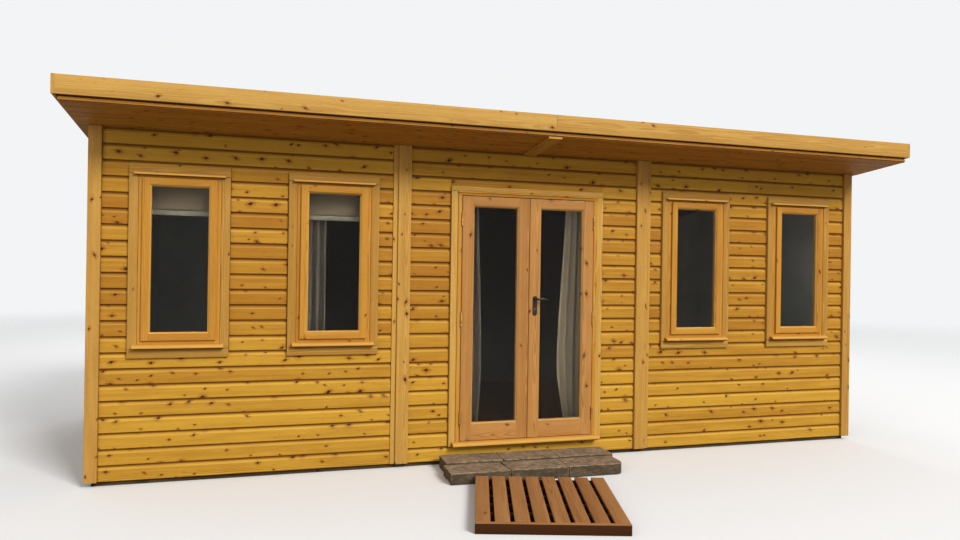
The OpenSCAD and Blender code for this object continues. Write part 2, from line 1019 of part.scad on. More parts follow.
// A plate with round ends and a keyhole, standing on the face of the leaf
module handle_plate() {
    r = handle_plate_w / 2;
    top = lever_z + handle_plate_w * 0.7;
    key_z = lever_z - key_drop;
    rotate([90, 0, 0])
        linear_extrude(handle_plate_t)
            difference() {
                union() {
                    translate([spindle_x, top - r])
                        circle(r);
                    translate([spindle_x, top - handle_plate_h + r])
                        circle(r);
                    translate([spindle_x - r, top - handle_plate_h + r])
                        square([2 * r, handle_plate_h - 2 * r]);
                }
                translate([spindle_x, lever_z])
                    circle(collar_r + collar_gap);
                translate([spindle_x, key_z])
                    circle(r / 3);
                translate([spindle_x - r / 7, key_z - r / 1.2])
                    square([r / 3.5, r / 1.2]);
            }
}

module handle_plates() {
    color("black") {
        translate([0, leaf_y, 0])
            handle_plate();
        translate([0, leaf_y + leaf_t + handle_plate_t, 0])
            handle_plate();
    }
}

// A grip that leaves its collar and turns a quarter circle to lie along the leaf.
// The leaf's face is at y = 0 and the grip is in front of it.
module lever() {
    bend = lever_stand - lever_r;
    rotate([90, 0, 0])
        cylinder(h = handle_plate_t + 3, r = collar_r);
    rotate([90, 0, 0])
        cylinder(h = lever_stand - bend / 2, r = lever_r);
    translate([bend / 2, -lever_stand + bend / 2, 0])
        rotate([0, 0, 180])
            rotate_extrude(angle = 90)
                translate([bend / 2, 0])
                    circle(lever_r);
    translate([bend / 2, -lever_stand, 0])
        rotate([0, 90, 0])
            cylinder(h = lever_l - bend / 2, r = lever_r);
    translate([lever_l, -lever_stand, 0])
        sphere(lever_r);
}

// Both levers turn together on one square spindle
module door_levers() {
    color("black")
        translate([spindle_x, leaf_y, lever_z]) {
            lever();
            translate([0, leaf_t, 0])
                mirror([0, 1, 0])
                    lever();
            rotate([-90, 0, 0])
                translate([-spindle_r, -spindle_r, -1])
                    cube([2 * spindle_r, 2 * spindle_r, leaf_t + 2]);
        }
}

// Blinds and curtains behind the glass

module roller_blinds() {
    roll_z = window_z + window_h - frame_show + blind_roll_r;
    roll_y = in_y + blind_roll_r + 4;
    cloth_y = in_y + 4 + blind_t / 2;
    color("gray")
        for (x = [-outer_window_x, -inner_window_x]) {
            translate([x - blind_w / 2, roll_y, roll_z])
                rotate([0, 90, 0])
                    cylinder(h = blind_w, r = blind_roll_r);
            box([x - blind_w / 2, cloth_y - blind_t / 2, roll_z - blind_drop],
                [x + blind_w / 2, cloth_y + blind_t / 2, roll_z]);
            box([x - blind_w / 2, cloth_y - blind_t, roll_z - blind_drop - blind_bar_h],
                [x + blind_w / 2, cloth_y + 2 * blind_t, roll_z - blind_drop]);
            for (end = [-blind_w / 2 - 3, blind_w / 2])
                box([x + end, in_y, roll_z - blind_roll_r],
                    [x + end + 3, roll_y + blind_roll_r, roll_z + blind_roll_r]);
        }
}

rail_z = floor_z + rail_up;
rail_y = in_y + rail_stand;

// A square rail on two brackets from the lining
module curtain_rail(x0, x1) {
    box([x0, rail_y - rail_s / 2, rail_z], [x1, rail_y + rail_s / 2, rail_z + rail_s]);
    for (x = [x0 + rail_s, x1 - 2 * rail_s])
        box([x, in_y, rail_z + 1], [x + rail_s, rail_y, rail_z + rail_s - 1]);
}

module curtain_rails() {
    color("silver") {
        curtain_rail(-door_w / 2 - rail_reach, door_w / 2 + rail_reach);
        curtain_rail(-inner_window_x - window_w / 2, -inner_window_x + window_w / 2);
    }
}

// A gathered curtain, its folds closed up into a block with a waved face
module curtain(x0, w, z0) {
    count = floor(w / fold_w);
    pitch = w / count;
    r = pitch / 2;
    translate([x0, rail_y, z0])
        linear_extrude(rail_z - z0) {
            translate([0, -curtain_t / 2 + r])
                square([w, curtain_t - pitch]);
            for (i = [0 : count - 1], side = [-1, 1])
                translate([r + i * pitch, side * (curtain_t / 2 - r)])
                    circle(r);
        }
}

module left_door_curtain() {
    color("gray")
        curtain(-door_w / 2 + curtain_in, left_curtain_w, floor_z + curtain_floor_gap);
}

module right_door_curtain() {
    color("gray")
        curtain(door_w / 2 - curtain_in - right_curtain_w, right_curtain_w,
            floor_z + curtain_floor_gap);
}

module window_curtain() {
    color("gray")
        curtain(-inner_window_x - window_w / 2, window_curtain_w, window_z - window_curtain_drop);
}

// Doorstep

// One row of three blocks about its middle, from its back face forwards
module block_row(h) {
    row_l = 3 * block_l + 2 * block_gap;
    for (i = [0 : 2]) {
        x = i * (block_l + block_gap) - row_l / 2;
        box([x, -block_d, 0], [x + block_l, 0, h]);
    }
}

// Two rows of blocks, the front row further to the left and a little lower
module doorstep() {
    color("silver")
        translate([0, trim_y - step_gap, 0])
            rotate([0, 0, -step_turn]) {
                translate([back_row_x, 0, 0])
                    block_row(block_h);
                translate([front_row_x, -block_d - row_gap, 0])
                    block_row(block_h - front_row_drop);
            }
}

// Slats nailed to cross bearers behind a flush front rail, turned towards the path
module duckboard() {
    slat_gap = (duckboard_w - slat_count * slat_w) / (slat_count - 1);
    top = slat_bearer_h + slat_t;
    slat_y = slat_rail_t - duckboard_l;
    bearer_step = (duckboard_l - slat_rail_t - slat_bearer_w) / (slat_bearer_count - 1);
    color("sienna")
        translate([duckboard_x, trim_y - step_gap - 2 * block_d - row_gap - block_gap, 0])
            rotate([0, 0, -duckboard_turn]) {
                box([0, -duckboard_l, 0], [duckboard_w, slat_y, top]);
                for (i = [0 : slat_count - 1]) {
                    x = i * (slat_w + slat_gap);
                    box([x, slat_y, slat_bearer_h], [x + slat_w, 0, top]);
                }
                for (i = [0 : slat_bearer_count - 1]) {
                    y = slat_y + i * bearer_step;
                    box([0, y, 0], [duckboard_w, y + slat_bearer_w, slat_bearer_h]);
                }
            }
}

floor_bearers();
floor();
front_wall_left();
front_wall_right();
door_wall_left();
door_wall_right();
door_wall_head();
left_wall();
right_wall();
back_wall();
front_cladding_left();
front_cladding_right();
door_cladding();
left_cladding();
right_cladding();
back_cladding();
corner_trims();
cover_strips();
roof_panels();
roof_covering();
soffit();
soffit_strips();
front_fascia();
back_fascia();
barge_boards();
window_surrounds();
outer_left_window();
inner_left_window();
inner_right_window();
outer_right_window();
window_sashes();
window_glass();
door_surround();
door_jambs();
door_head();
door_sill();
frame_hinges();
left_door();
left_door_glass();
left_door_hinges();
right_door();
right_door_glass();
right_door_hinges();
handle_plates();
door_levers();
roller_blinds();
curtain_rails();
left_door_curtain();
right_door_curtain();
window_curtain();
doorstep();
duckboard();
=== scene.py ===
# A timber garden office pod: three front panels clad in shiplap, four tall windows, glazed double
# doors, a deep pent roof, a doorstep of concrete blocks and a loose slatted duckboard.
# Everything is in metres, with the ground at z = 0 and the front facing -Y.
import math
import random

import bmesh
import bpy
from mathutils import Matrix, Vector, noise


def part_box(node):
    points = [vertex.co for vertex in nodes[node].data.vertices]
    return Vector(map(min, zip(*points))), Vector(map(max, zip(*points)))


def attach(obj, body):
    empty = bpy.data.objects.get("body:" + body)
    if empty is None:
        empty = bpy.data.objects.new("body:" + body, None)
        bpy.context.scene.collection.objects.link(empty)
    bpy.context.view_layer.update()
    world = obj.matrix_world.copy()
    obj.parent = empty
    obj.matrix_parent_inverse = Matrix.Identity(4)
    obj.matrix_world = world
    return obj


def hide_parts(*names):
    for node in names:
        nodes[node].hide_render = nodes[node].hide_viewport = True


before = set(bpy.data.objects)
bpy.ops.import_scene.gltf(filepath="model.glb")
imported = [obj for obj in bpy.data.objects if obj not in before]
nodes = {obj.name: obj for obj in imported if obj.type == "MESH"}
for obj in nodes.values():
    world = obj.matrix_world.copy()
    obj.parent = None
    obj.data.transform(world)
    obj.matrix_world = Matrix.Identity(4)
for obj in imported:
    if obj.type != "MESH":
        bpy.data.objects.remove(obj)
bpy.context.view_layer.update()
scene = bpy.context.scene
scene.view_settings.view_transform = "Standard"
X, Y, Z = Vector((1, 0, 0)), Vector((0, 1, 0)), Vector((0, 0, 1))


# Camera. It stands to the left of the doors at chest height, turned to the right, with a lens
# wide enough for the whole front.
eye = Vector((-1.99327, -6.72020, 1.41829))
turn, tilt, roll = 0.298686, 0.00138, 0.014928
forward = Vector((math.sin(turn) * math.cos(tilt), math.cos(turn) * math.cos(tilt), math.sin(tilt)))
level = Vector((math.cos(turn), -math.sin(turn), 0))
right = math.cos(roll) * level + math.sin(roll) * level.cross(forward)
up = right.cross(forward)
camera = bpy.data.objects.new("camera", bpy.data.cameras.new("camera"))
camera.data.sensor_width = 36
camera.data.lens = 27.75
camera.matrix_world = Matrix.Translation(eye) @ Matrix((right, up, -forward)).transposed().to_4x4()
scene.collection.objects.link(camera)
scene.camera = camera


# Studio. A large soft light stands to the front right, a weaker one to the left and one behind,
# over a pale floor that fades into a pale world, so that no horizon shows.
def srgb(*parts):
    """A colour given as 0 to 255, in the linear values that Blender's sockets take."""
    return (*(((c / 255 + 0.055) / 1.055) ** 2.4 if c > 10 else c / 3295 for c in parts), 1)


def fill_in(node, sockets):
    """Gives a node's sockets a value each, or the output of another node."""
    for name, value in sockets.items():
        if isinstance(value, bpy.types.NodeSocket):
            node.id_data.links.new(value, node.inputs[name])
        else:
            node.inputs[name].default_value = value


def put(tree, kind, settings={}, sockets={}):
    """A new shader node."""
    node = tree.nodes.new("ShaderNode" + kind)
    for name, value in settings.items():
        setattr(node, name, value)
    fill_in(node, sockets)
    return node


def tree_of(*values):
    """The node tree that the first of the sockets among some values is in."""
    return next(value.id_data for value in values if isinstance(value, bpy.types.NodeSocket))


def maths(operation, *values):
    return put(tree_of(*values), "Math", {"operation": operation}, dict(enumerate(values))).outputs[0]


def colours(factor, first, second, mode="MIX"):
    """Two colours mixed by a factor."""
    settings = {"data_type": "RGBA", "blend_type": mode}
    sockets = {0: factor, 6: first, 7: second}
    return put(tree_of(factor, first, second), "Mix", settings, sockets).outputs[2]


def ramp(value, low, high, to_low=0.0, to_high=1.0):
    """A value eased from one range into another."""
    node = put(value.id_data, "MapRange", {"interpolation_type": "SMOOTHSTEP"},
               {"Value": value, "From Min": low, "From Max": high, "To Min": to_low, "To Max": to_high})
    return node.outputs["Result"]


def place_in(tree):
    """The place of a point in its object."""
    return put(tree, "TexCoord").outputs["Object"]


def new_material(name):
    """A material with an empty Principled surface, as its node tree and that surface."""
    material = bpy.data.materials.new(name)
    material.use_nodes = True
    surface = material.node_tree.nodes["Principled BSDF"]
    return material, material.node_tree, surface


def area_light(name, place, aim, size, power):
    light = bpy.data.objects.new(name, bpy.data.lights.new(name, "AREA"))
    light.data.size = size
    light.data.energy = power
    light.location = place
    light.rotation_euler = (Vector(aim) - Vector(place)).to_track_quat("-Z", "Y").to_euler()
    scene.collection.objects.link(light)


def directly_seen(tree):
    """One for what the camera sees, also in a mirror or through glass, and zero for what lights the pod."""
    ray = put(tree, "LightPath").outputs
    plain_view = maths("MAXIMUM", ray["Is Camera Ray"], ray["Is Glossy Ray"])
    return maths("MAXIMUM", plain_view, ray["Is Transmission Ray"])


area_light("key light", (11, -28, 20), (0, -1, 1.0), 11.0, 11600)
area_light("fill light", (-9, -9, 4.5), (0, -1, 1.0), 6.0, 220)
area_light("back light", (2, 11, 7), (0, 0, 1.5), 6.0, 600)
world = bpy.data.worlds.new("studio")
world.use_nodes = True
scene.world = world
sky = world.node_tree
fill = put(sky, "Background", {}, {"Color": srgb(240, 241, 243), "Strength": 0.6})
plain = put(sky, "Background", {}, {"Color": srgb(243, 244, 245), "Strength": 1.0})
mixed = put(sky, "MixShader", {}, {0: directly_seen(sky), 1: fill.outputs[0], 2: plain.outputs[0]})
sky.links.new(mixed.outputs[0], sky.nodes["World Output"].inputs["Surface"])

floor_size, floor_clear, floor_gone = 60, 7.0, 22.0
bpy.ops.mesh.primitive_plane_add(size=floor_size, location=(0, 0, -0.001))
studio_floor = bpy.context.object
studio_floor.name = "studio_floor"
floor_material, tree, surface = new_material("studio floor")
from_middle = put(tree, "VectorMath", {"operation": "LENGTH"}, {0: place_in(tree)}).outputs["Value"]
fill_in(surface, {
    "Base Color": colours(directly_seen(tree), srgb(112, 112, 108), srgb(232, 232, 231)),
    "Alpha": ramp(from_middle, floor_clear, floor_gone, 1.0, 0.0),
    "Roughness": 0.9, "Specular IOR Level": 0.1})
studio_floor.data.materials.append(floor_material)


# Floor and base. Five treated bearers lie on the ground under the joists. The floor inside is
# boarded, and only its front strip shows through the glazed doors.
def times(first, second, plus=None):
    """A product, and what is added to it."""
    return maths("MULTIPLY", first, second) if plus is None else maths("MULTIPLY_ADD", first, second, plus)


def squared(value):
    return maths("POWER", value, 2.0)


def vectors(operation, *values):
    return put(values[0].id_data, "VectorMath", {"operation": operation}, dict(enumerate(values))).outputs[0]


def scaled(vector, *factors):
    return vectors("MULTIPLY", vector, factors)


def split(vector):
    return put(vector.id_data, "SeparateXYZ", {}, {0: vector}).outputs


def clouds(vector, detail=2.0, roughness=0.5):
    sockets = {"Vector": vector, "Scale": 1.0, "Detail": detail, "Roughness": roughness}
    return put(vector.id_data, "TexNoise", {}, sockets).outputs["Fac"]


def relief(height, strength, depth):
    """A surface's normal, roughened by a height."""
    sockets = {"Strength": strength, "Distance": depth, "Height": height}
    return put(height.id_data, "Bump", {}, sockets).outputs[0]


def attribute(tree, name, output="Fac"):
    return put(tree, "Attribute", {"attribute_name": name}).outputs[output]


def new_group(name, inputs, outputs):
    """A shader node group with its named sockets, and its input and output nodes."""
    group = bpy.data.node_groups.new(name, "ShaderNodeTree")
    for label, kind, *value in inputs:
        socket = group.interface.new_socket(label, in_out="INPUT", socket_type="NodeSocket" + kind)
        if value:
            socket.default_value = value[0]
    for label, kind in outputs:
        group.interface.new_socket(label, in_out="OUTPUT", socket_type="NodeSocket" + kind)
    return group, group.nodes.new("NodeGroupInput").outputs, group.nodes.new("NodeGroupOutput")


# Sawn pine: growth rings round a pith, fibres, streaks, and knots with short dark tails. Grain is
# the place in the board in metres, with x along it and the pith at y = z = 0.
pine, given, result = new_group("Pine figure", [
    ("Grain", "Vector"), ("Tone", "Float", 0.5), ("Seam", "Float", 0.0), ("Early Wood", "Color"),
    ("Late Wood", "Color"), ("Knot Wood", "Color"), ("Ring Pitch", "Float", 0.005),
    ("Ring Strength", "Float", 0.6), ("Knot Share", "Float", 0.5), ("Knot Size", "Float", 0.0085),
    ("Tone Spread", "Float", 0.3)],
    [("Color", "Color"), ("Height", "Float"), ("Knots", "Float")])
grain = given["Grain"]
parts = split(grain)
knot_cell, least_knot, painted_highlight_colour = 0.118, 0.0002, (1.0, 0.85, 0.32, 1.0)
flat = put(pine, "CombineXYZ", {}, {"X": parts["X"], "Y": parts["Y"]}).outputs[0]
wobble = put(pine, "TexNoise", {}, {"Vector": scaled(grain, 95, 95, 0), "Scale": 1.0, "Detail": 2.0})
shaken = vectors("MULTIPLY_ADD", wobble.outputs["Color"], (0.007, 0.006, 0), flat)
spots = put(pine, "TexVoronoi", {"voronoi_dimensions": "2D"},
            {"Vector": shaken, "Scale": 1 / knot_cell}).outputs
offset = split(vectors("SUBTRACT", shaken, spots["Position"]))
draw = put(pine, "SeparateColor", {}, {0: spots["Color"]}).outputs
there = maths("LESS_THAN", draw["Red"], given["Knot Share"])
lean = times(maths("SUBTRACT", draw["Blue"], 0.5), 0.7)
sideways = times(offset["X"], lean, offset["Y"])
away = maths("SQRT", maths("ADD", squared(times(offset["X"], 0.8)), squared(sideways)))
girth = times(maths("POWER", draw["Green"], 1.8), 0.65, 0.35)
radius = maths("MAXIMUM", times(girth, given["Knot Size"]), least_knot)
near = maths("DIVIDE", away, radius)
core = times(ramp(near, 1.05, 0.75), there)
halo = times(ramp(near, 3.0, 0.9), there)
tail_x = ramp(maths("DIVIDE", maths("ABSOLUTE", offset["X"]), radius), 5.5, 0.5)
tail_y = ramp(maths("DIVIDE", maths("ABSOLUTE", sideways), radius), 0.75, 0.15)
tail = times(times(tail_x, tail_y), there)
drift = clouds(scaled(grain, 1.1, 7, 7))
ring_radius = times(drift, 0.034, maths("SQRT", maths("ADD", squared(parts["Y"]), squared(parts["Z"]))))
bent = times(times(halo, radius), 1.2, ring_radius)
phase = maths("FRACT", maths("DIVIDE", bent, given["Ring Pitch"]))
late = times(ramp(phase, 0.15, 0.8), ramp(phase, 1.0, 0.88))
streaks = ramp(clouds(scaled(grain, 1.8, 42, 42), 3.0, 0.6), 0.36, 0.66)
fibres = clouds(scaled(grain, 14, 700, 700), 2.0, 0.7)
flecks = ramp(clouds(scaled(grain, 26, 110, 110), 2.0, 0.6), 0.64, 0.74)
heart = ramp(bent, 0.075, 0.055)
patches = clouds(scaled(grain, 3.5, 13, 13))
figure = times(late, given["Ring Strength"])
own_tone = maths("SUBTRACT", given["Tone"], 0.5)
for part, share in ((streaks, 0.26), (heart, 0.16), (own_tone, given["Tone Spread"]), (halo, 0.5),
                    (maths("SUBTRACT", patches, 0.5), 0.5)):
    figure = times(part, share, figure)
figure = put(pine, "Clamp", {}, {0: figure}).outputs[0]
late_wood, knot_wood = given["Late Wood"], given["Knot Wood"]
fibre_shade = ramp(fibres, 0.3, 0.7, 0.93, 1.05)
shade = put(pine, "CombineColor", {}, {0: fibre_shade, 1: fibre_shade, 2: fibre_shade}).outputs[0]
knotted = colours(times(draw["Blue"], 0.3), knot_wood, late_wood)
# Painted shade and highlight: where a section point asks for it, a darker wood is mixed in as painted shade,
# and a value below zero adds pale yellow as a painted highlight.
painted_shade_wood = colours(0.25, knot_wood, late_wood)
painted_highlight = maths("MAXIMUM", times(given["Seam"], -0.16), 0.0)
timber_colour = colours(figure, given["Early Wood"], late_wood)
for share, tint, *mode in ((1.0, shade, "MULTIPLY"), (times(flecks, 0.3), knot_wood),
                           (times(tail, 0.4), knot_wood), (core, knotted),
                           (times(given["Seam"], 0.85), painted_shade_wood), (painted_highlight, painted_highlight_colour, "ADD")):
    timber_colour = colours(share, timber_colour, tint, *mode)
height = times(core, -0.6, times(fibres, 0.5, times(late, -0.5)))
fill_in(result, {"Color": timber_colour, "Height": height, "Knots": core})


def timber(name, early, late_wood, knot, values={}, roughness=0.6, along=None):
    """A finish of pine. Boards carry their grain as attributes, and a CAD part takes it from its place."""
    material, tree, surface = new_material(name)
    wood = put(tree, "Group", {"node_tree": pine}, {
        "Early Wood": srgb(*early), "Late Wood": srgb(*late_wood), "Knot Wood": srgb(*knot), **values})
    if along is None:
        fill_in(wood, {"Grain": attribute(tree, "grain", "Vector"), "Tone": attribute(tree, "tone"),
                       "Seam": attribute(tree, "painted_shading")})
    else:
        spin = (0, 0, 0) if along == "X" else (0, 0, math.pi / 2)
        sockets = {"Vector": place_in(tree), "Location": (3.1, 0.04, 0.07), "Rotation": spin}
        fill_in(wood, {"Grain": put(tree, "Mapping", {}, sockets).outputs[0]})
    wood = wood.outputs
    fill_in(surface, {
        "Base Color": wood["Color"], "Roughness": ramp(wood["Knots"], 0, 1, roughness, roughness - 0.18),
        "Normal": relief(wood["Height"], 0.7, 0.0005), "Specular IOR Level": 0.1})
    return material


def dress(node, material):
    """Gives a CAD part its finish."""
    nodes[node].data.materials.clear()
    nodes[node].data.materials.append(material)


dress("floor_bearers", timber("treated bearers", (84, 66, 40), (54, 40, 24), (28, 20, 12), along="X"))
dress("floor", timber("floor boards", (112, 82, 52), (84, 56, 32), (48, 30, 18), along="X"))


# Walls and ceiling. The panels are stud frames lined with smooth pale board, darkened along the
# middle as painted shade. The roof is three panels of timber boards, the ceiling inside.
lining, tree, surface = new_material("painted lining")
place = place_in(tree)
patchy = ramp(clouds(scaled(place, 2.5, 2.5, 2.5), 4.0), 0.35, 0.7)
paint = colours(patchy, srgb(212, 212, 208), srgb(196, 196, 192))
# Painted shade: the lining is darkened where the inside shows dim through the doors.
painted_shade_middle = ramp(maths("ABSOLUTE", split(place)["X"]), 2.18, 2.16)
roller_marks = clouds(scaled(place, 260, 260, 260), 3.0)
fill_in(surface, {"Base Color": colours(painted_shade_middle, paint, srgb(74, 60, 48)),
                  "Normal": relief(roller_marks, 0.3, 0.0004), "Roughness": 0.7})
for node in ("front_wall_left", "front_wall_right", "door_wall_left", "door_wall_right", "door_wall_head",
             "left_wall", "right_wall", "back_wall"):
    dress(node, lining)
dress("roof_panels", timber("roof boards", (132, 94, 52), (98, 64, 32), (48, 28, 14), along="Y"))


# Cladding. Shiplap boards of softwood in honey-gold, machined with a scoop along the top edge
# that the next board stands over, cut round the openings and nailed twice at every stud.
dice = random.Random(11)
half_w, half_d, trim_y = 3.000, 1.500, -1.500
clad_x, clad_y, core_y = 2.980, 1.480, 1.460
cover, skirt, board_t, board_rows = 0.1036, 0.030, 0.020, 22
scoop_h, scoop_d = 0.028, 0.009
roof_fall = math.radians(5)
soffit_z, soffit_t, seat_gap, saw_gap = 2.310, 0.018, 0.0002, 0.0005
joint_x, batten_w, strip_w = 1.000, 0.035, 0.092
corner_w, corner_side_w, trim_gap = 0.078, 0.0575, 0.0018
window_places = [-2.448, -1.448, 1.448, 2.448]
window_w, window_low, window_high = 0.506, 0.878, 2.017
door_half, door_low, door_high = 0.558, 0.131, 2.001
surround_w, door_surround_w = 0.058, 0.050
end_gap, hole_gap, least_foot, nail_margin, nail_up, nail_down = 0.0006, 0.004, 0.05, 0.012, 0.018, 0.040
# Boards between these heights are darkened through their tone as painted shade, fading in and out.
painted_shade_low, painted_shade_high, painted_shade_fade, painted_shade_most = 0.75, 2.05, 0.3, 0.8


def eased(points, size, steps=2):
    """A section with each corner rounded off by the planer."""
    rounded = []
    for i, corner in enumerate(points):
        corner = Vector(corner)
        before, after = Vector(points[i - 1]) - corner, Vector(points[(i + 1) % len(points)]) - corner
        reach = min(size, before.length * 0.45, after.length * 0.45)
        first, last = corner + before.normalized() * reach, corner + after.normalized() * reach
        for s in range(steps + 1):
            t = s / steps
            rounded.append(tuple((1 - t) ** 2 * first + 2 * t * (1 - t) * corner + t * t * last))
    return rounded


def rectangle(width, thickness, ease=0.0015):
    """The section of a planed board, as distance across its face and depth behind it."""
    return eased([(0, 0), (width, 0), (width, thickness), (0, thickness)], ease)


def new_mesh():
    bm = bmesh.new()
    bm.verts.layers.float_vector.new("grain")
    bm.verts.layers.float.new("tone")
    bm.verts.layers.float.new("painted_shading")
    return bm


def lay_timber(bm, start, along, across, inward, length, section, mitre=0, ease=0.0008, tone=None):
    """One length of timber. Its section runs from start, and a mitre of 1 draws both ends in.

    A point of the section is its distance across, its depth, and how much painted shade it takes, if any. A
    value below zero stands for a painted highlight."""
    grain_layer, tone_layer = bm.verts.layers.float_vector["grain"], bm.verts.layers.float["tone"]
    painted_shading_layer = bm.verts.layers.float["painted_shading"]
    shift, pith = dice.uniform(0, 40), (dice.uniform(-0.05, 0.1), dice.uniform(0.015, 0.09))
    own_tone = dice.random() if tone is None else tone
    middle = [sum(p[i] for p in section) / len(section) for i in (0, 1)]
    rings = []
    stations = ((0, ease), (ease, 0), (length - ease, 0), (length, ease)) if ease else ((0, 0), (length, 0))
    for at, inset in stations:
        ring = []
        for w, d, *painted_shading in section:
            drawn = at + mitre * w if at < length / 2 else at - mitre * w
            w2 = w - math.copysign(inset, w - middle[0])
            d2 = d - math.copysign(inset, d - middle[1])
            vert = bm.verts.new(Vector(start) + along * drawn + across * w2 + inward * d2)
            vert[grain_layer] = (drawn + shift, w2 - pith[0], d2 + pith[1])
            vert[tone_layer] = own_tone
            vert[painted_shading_layer] = painted_shading[0] if painted_shading else 0.0
            ring.append(vert)
        rings.append(ring)
    faces = [bm.faces.new(rings[0][::-1]), bm.faces.new(rings[-1])]
    for low, high in zip(rings, rings[1:]):
        for i in range(len(section)):
            j = (i + 1) % len(section)
            faces.append(bm.faces.new((low[i], low[j], high[j], high[i])))
    return faces


def saw(bm, faces, place, normal):
    """Cuts off what lies beyond a plane, and closes the cut."""
    geometry = list(dict.fromkeys(part for face in faces for part in (*face.verts, *face.edges))) + faces
    cut = bmesh.ops.bisect_plane(bm, geom=geometry, plane_co=place, plane_no=normal, clear_outer=True,
                                 dist=1e-6)
    edges = [g for g in cut["geom_cut"] if isinstance(g, bmesh.types.BMEdge)]
    if edges:
        bmesh.ops.contextual_create(bm, geom=edges)


def make_piece(name, bm, material, slot, *replaced, body="pod", angle=38):
    """Turns a mesh into one object that rides on a body and stands for the CAD parts named."""
    bmesh.ops.recalc_face_normals(bm, faces=bm.faces)
    mesh = bpy.data.meshes.new(name)
    bm.to_mesh(mesh)
    bm.free()
    mesh.shade_smooth()
    mesh.set_sharp_from_angle(angle=math.radians(angle))
    mesh.materials.append(material)
    piece = bpy.data.objects.new(name, mesh)
    scene.collection.objects.link(piece)
    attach(piece, body)
    if replaced:
        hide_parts(*replaced)
    return piece


def shiplap(low, high):
    """The section of one board. The slot above its scoop and its bottom edge are darkened as painted shade,
    and the scoop carries a painted highlight.
    """
    rise, foot = scoop_h * 0.62, high - scoop_h
    scoop = [(foot + rise * (1 - math.cos(math.radians(d))), scoop_d * math.sin(math.radians(d)), shade)
             for d, shade in ((0, -1.0), (15, -0.5), (30, -0.3), (45, -0.2), (60, 0.0), (75, 0.3))]
    top, arris = high - 0.0006, 0.0015
    return [(low + arris, 0, 0.5), (low + 0.006, 0, 0.0), (foot - 0.005, 0, 0.0), *scoop,
            (foot + rise, scoop_d, 1.0), (top, scoop_d, 1.0), (top, board_t, 1.0), (low, board_t, 1.0),
            (low, arris, 0.8)]


def nail(bm, place, outward):
    """A round nail head, slightly domed, standing on the face of the timber."""
    side = outward.orthogonal().normalized()
    other = outward.cross(side)
    rim_r, dome, sunk = 0.0032, 0.0007, 0.001
    ring = [bm.verts.new(place + (side * math.cos(a) + other * math.sin(a)) * rim_r - outward * sunk)
            for a in (i * math.pi / 4 for i in range(8))]
    inner = [bm.verts.new(place + (v.co - place) * 0.75 + outward * dome) for v in ring]
    for i in range(8):
        bm.faces.new((ring[i], ring[i - 1], inner[i - 1], inner[i]))
    bm.faces.new(inner)
    bm.faces.new(ring[::-1])


def clad(bm, nails, start, along, inward, runs, studs):
    """Boards on one wall. A run is its row, its two ends along the wall, and its raised bottom or 0."""
    for row, first, last, notch in runs:
        low, high = skirt + row * cover, skirt + (row + 1) * cover
        wander = dice.uniform(-0.0004, 0.0004)
        face = Vector(start) + inward * max(wander, 0)
        # Painted shade: boards in the band take a darker tone.
        painted_shade_band = min(max((low - painted_shade_low) / painted_shade_fade, 0), max((painted_shade_high - low) / painted_shade_fade, 0), 1)
        faces = lay_timber(bm, face + along * (first + end_gap), along, Z, inward, last - first - 2 * end_gap,
                           shiplap(notch or low, high), tone=dice.random() + painted_shade_most * painted_shade_band)
        for stud in studs:
            if first + nail_margin < stud < last - nail_margin:
                for z in (low + nail_up, high - nail_down):
                    if z > notch:
                        at = face + along * (stud + dice.uniform(-0.004, 0.004))
                        nail(nails, at + Z * (z + dice.uniform(-0.003, 0.003)), -inward)
        if inward != Y:
            saw(bm, faces, roof_under, roof_up)


def rows_round(first, last, holes, joints=()):
    """Runs of boards between two ends. A hole is (from, to, bottom, top), and a joint is (row, place)."""
    runs = []
    for row in range(board_rows):
        low, high = skirt + row * cover, skirt + (row + 1) * cover
        ends, notches = {first, last}, []
        for hole_first, hole_last, bottom, top in holes:
            if bottom < high and low < top and not low + least_foot < bottom:
                ends |= {hole_first, hole_last}
                notches.append((hole_first, hole_last, top + hole_gap if top < high else None))
        ends = sorted(ends | {place for at_row, place in joints if at_row == row})
        for a, b in zip(ends, ends[1:]):
            notch = next((n[2] for n in notches if n[0] <= a and b <= n[1]), 0)
            if notch is not None:
                runs.append((row, a, b, notch))
    return runs


roof_up = Vector((0, math.sin(roof_fall), math.cos(roof_fall)))
roof_under = Vector((0, -clad_y, soffit_z + soffit_t - seat_gap - saw_gap))
cladding_pine = timber("honey cladding", (204, 155, 52), (158, 102, 29), (60, 18, 2),
                       {"Knot Share": 0.74, "Knot Size": 0.0125, "Tone Spread": 0.5})
window_reach, door_reach = window_w / 2 + surround_w + trim_gap, door_half + door_surround_w + trim_gap
window_holes = [(x - window_reach, x + window_reach, window_low, window_high) for x in window_places]
door_hole = [(-door_reach, door_reach, door_low, door_high)]
nails = new_mesh()
wall_x, wall_y = half_w - corner_w - trim_gap, clad_y - corner_side_w - trim_gap
outer_edge, door_edge = joint_x + batten_w + trim_gap, joint_x - strip_w - trim_gap
on_front = ((0, -clad_y, 0), X, Y)
front_studs = [1.07, 1.448, 1.79, 2.11, 2.448, 2.90]
side_studs = [0.06, 0.52, 0.98, 1.44, 1.90, 2.36, 2.84]
side_rows = rows_round(core_y - wall_y, core_y + wall_y, [])
back_joints = [(row, (1.94, 4.02, 2.98)[row % 3]) for row in range(board_rows)]
